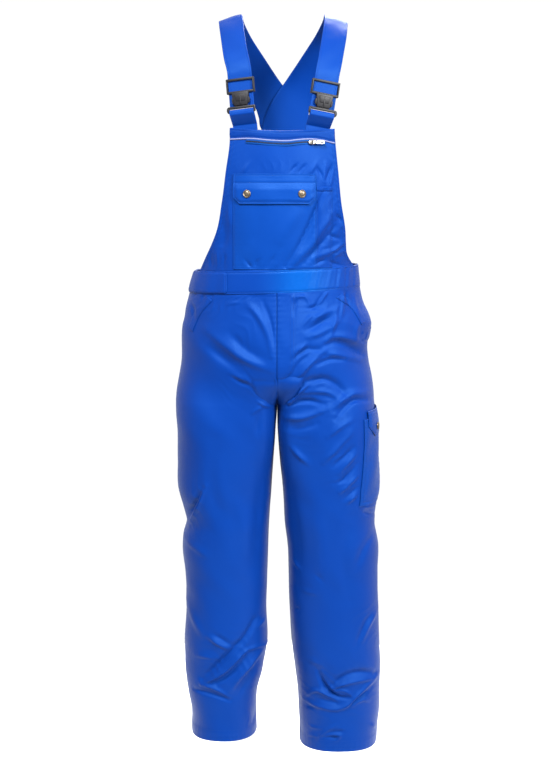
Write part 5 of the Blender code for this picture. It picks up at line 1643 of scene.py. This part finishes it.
def makeSnap(name, node, place, out):
    r = snap["radius"]
    profile = [(0, 0), (0.80 * r, 0), (0.96 * r, 0.0003), (r, 0.0009), (0.985 * r, 0.0016), (0.93 * r, 0.0022),
               (0.86 * r, 0.0024), (0.79 * r, 0.0021), (0.74 * r, 0.0015), (0.70 * r, 0.0013), (0.64 * r, 0.0015),
               (0.55 * r, 0.0019), (0.40 * r, 0.0023), (0.22 * r, 0.0025), (0.10 * r, 0.00245), (0, 0.0024)]
    forms = [turnedForm(profile)]
    for number in range(16):      # beads round the cap
        angle = 2 * math.pi * number / 16
        bead = turnedForm([(0, 0), (0.0004, 0.0001), (0.0003, 0.00035), (0, 0.0004)], 8)
        bead.transform(Matrix.Translation((0.60 * r * math.cos(angle), -0.0015, 0.60 * r * math.sin(angle))))
        forms.append(bead)
    joinForms(name, forms, finishes["brass"], placed(place, out), [node])


def nodeCentre(node):
    low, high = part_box(node)
    return (low + high) / 2


def seatOnCloth(ground, first, up, lift):
    places, ways = ground.find(np.array([first]), np.array([up]))
    return places[0] + ways[0] * lift, ways[0]


for side, x in bib["snaps"]:
    z = bib["snapHeight"]
    lift = float(overChestPocket(np.array([x]), np.array([z]))[0]) + garment["pocketCloth"] + 0.0019
    makeSnap(f"chestSnap{side.title()}", f"chest_snap_{side}", *seatOnCloth(bibGround, x, z, lift))
for end, y in cargo["snaps"]:
    z = cargo["snapHeight"]
    lift = float(overCargoPocket(np.array([y]), np.array([z]))[0]) + garment["pocketCloth"] + 0.0012
    makeSnap(f"cargoSnap{end.title()}", f"cargo_snap_{end}", *seatOnCloth(legSide, y, z, lift))

zipper = {"x": 0.0620, "pinRadius": 0.0008, "pinOut": 0.0052, "pinHalf": 0.0033, "bore": 0.0011, "barrel": 0.0019, "barrelHalf": 0.0020,
          "toothPitch": 0.0013}


def makeZip():
    centre = nodeCentre("zip_slider")
    hinge = frame["joints"][0]
    pin, way = Vector(hinge["pos_m"]), Vector(hinge["axis"])
    _, out = seatOnCloth(bibGround, zipper["x"], float(centre.z), 0)
    out = Vector(out)
    up = -way if way.z < 0 else way
    out = (out - up * out.dot(up)).normalized()
    here = placed(pin - out * zipper["pinOut"], out, up)
    forms = [bar(0.0110, 0.0026, 0.0070, 0, -0.0013, 0, 0.0009)]
    forms.append(block([(-0.0055, -0.0035), (-0.0080, -0.0016), (-0.0080, 0.0016), (-0.0055, 0.0035)],
                       -0.0022, -0.0006, 0.0003))
    for z in (-0.0029, 0.0029):
        forms.append(block([(-0.0018, z - 0.0006), (0.0018, z - 0.0006), (0.0018, z + 0.0006), (-0.0018, z + 0.0006)],
                           -0.0062, -0.0020, 0.0004))
    thin, half = zipper["pinRadius"], zipper["pinHalf"]
    rod = turnedForm([(0, -half), (thin, -half), (thin, half), (0, half)], 20, "Z")
    rod.transform(Matrix.Translation((0, -zipper["pinOut"], 0)))
    forms.append(rod)
    joinForms("zipSlider", forms, finishes["zipMetal"], here, ["zip_slider"])

    bore, wall, half = zipper["bore"], zipper["barrel"], zipper["barrelHalf"]
    barrel = turnedForm([(bore, -half), (wall, -half), (wall, half), (bore, half), (bore, -half)], 28, "Z")
    outline = [(0.0016, 0.0017), (0.0035, 0.0017), (0.0080, 0.0030), (0.0195, 0.0031), (0.0215, 0.0024), (0.0221, 0.0)]
    outline = outline + [(x, -z) for x, z in reversed(outline[:-1])]
    blade = bmesh.new()
    middle = np.array([(x, z) for x, z in outline])
    rings = []
    for depth in (-0.0007, 0.0007):
        outerRing = [blade.verts.new((x, depth, z)) for x, z in middle]
        start = int(np.argmax(middle[:, 0]))
        turned = []
        for number in range(len(outline)):
            angle = -2 * math.pi * (number - start) / len(outline)
            turned.append(blade.verts.new((0.0165 + 0.0030 * math.cos(angle), depth, 0.0015 * math.sin(angle))))
        rings.append((outerRing, turned))
    count = len(outline)
    for number in range(count):
        after = (number + 1) % count
        (outerA, innerA), (outerB, innerB) = rings
        blade.faces.new((outerA[number], outerA[after], innerA[after], innerA[number]))
        blade.faces.new((outerB[after], outerB[number], innerB[number], innerB[after]))
        blade.faces.new((outerA[after], outerA[number], outerB[number], outerB[after]))
        blade.faces.new((innerA[number], innerA[after], innerB[after], innerB[number]))
    bmesh.ops.recalc_face_normals(blade, faces=blade.faces)
    pull = here @ Matrix.Translation((0, -zipper["pinOut"], 0))
    joinForms("zipPull", [barrel, blade], finishes["zipMetal"], pull, ["zip_pull"], "zip_pull")

    # Teeth of the closed zip, alternately from the upper and the lower tape
    line, out = edgeLine(tapeNet, "top", bib["zip"][2] / 2)
    along = np.concatenate(([0], np.cumsum(np.linalg.norm(np.diff(line, axis=0), axis=1))))
    teeth = []
    for number, place in enumerate(np.arange(0.001, along[-1] - 0.001, zipper["toothPitch"] / 2)):
        spot = [float(np.interp(place, along, line[:, axis])) for axis in range(3)]
        if abs(spot[0] - zipper["x"]) < 0.0055:
            continue
        way = [float(np.interp(place, along, out[:, axis])) for axis in range(3)]
        tooth = bar(0.00055, 0.0010, 0.0022, 0, -0.0002, 0.0006 * (1 if number % 2 else -1), 0.0001)
        tooth.transform(placed(spot, way))
        teeth.append(tooth)
    joinForms("zipTeeth", teeth, finishes["plastic"], Matrix.Identity(4))


makeZip()
print("fittings made")
for group, lines in threadLines.items():
    makeStitches(f"{group}Stitching", lines, finishes["thread"])
print("stitching made")


# Floor, light and camera

studio = {
    "floor": -1.56, "world": 1.03, "floorRadius": 1.0, "floorColour": (0.78, 0.78, 0.78, 1),
    "camera": (0.0, -2.92, -0.316), "target": (0.0, 0.0, -0.728), "lens": 67.8, "sensor": 36.0,
    "lights": (    # name, place, target, size, power, spread in degrees
        ("key", (-0.85, -2.05, 1.75), (0, 0, -0.52), 0.9, 40, 70),
        ("fill", (1.9, -2.3, 0.9), (0, 0, -0.7), 1.2, 80, 90),
        ("behind", (0.8, 2.3, 1.8), (0, 0, -0.6), 1.2, 32, 80)),
}


def makeStudio():
    form = bmesh.new()
    bmesh.ops.create_circle(form, cap_ends=True, segments=96, radius=studio["floorRadius"],
                            matrix=Matrix.Translation((0, 0, studio["floor"])))
    mesh = bpy.data.meshes.new("floor")
    form.to_mesh(mesh)
    form.free()
    floor = bpy.data.objects.new("floor", mesh)
    bpy.context.scene.collection.objects.link(floor)
    pale = Finish("paleFloor")
    place = pale.node("NewGeometry", {}, output=0)
    colour = pale.mix(pale.noise(place, 3.0), studio["floorColour"], (0.82, 0.82, 0.82, 1))
    mesh.materials.append(pale.shade(Base_Color=colour, Roughness=0.9, Specular_IOR_Level=0.1))

    world = bpy.data.worlds.new("studio")
    world.use_nodes = True
    background = world.node_tree.nodes["Background"]
    background.inputs["Color"].default_value = (1, 1, 1, 1)
    background.inputs["Strength"].default_value = studio["world"]
    bpy.context.scene.world = world
    bpy.context.scene.view_settings.view_transform = "Standard"

    for name, place, target, size, power, spread in studio["lights"]:
        lamp = bpy.data.lights.new(name, "AREA")
        lamp.shape, lamp.size, lamp.energy, lamp.spread = "DISK", size, power, math.radians(spread)
        light = bpy.data.objects.new(name, lamp)
        bpy.context.scene.collection.objects.link(light)
        light.location = place
        light.rotation_euler = (Vector(target) - Vector(place)).to_track_quat("-Z", "Y").to_euler()

    lens = bpy.data.cameras.new("camera")
    lens.sensor_fit, lens.sensor_height, lens.lens = "VERTICAL", studio["sensor"], studio["lens"]
    camera = bpy.data.objects.new("camera", lens)
    bpy.context.scene.collection.objects.link(camera)
    camera.location = studio["camera"]
    camera.rotation_euler = (Vector(studio["target"]) - Vector(studio["camera"])).to_track_quat("-Z", "Y").to_euler()
    bpy.context.scene.camera = camera


makeStudio()
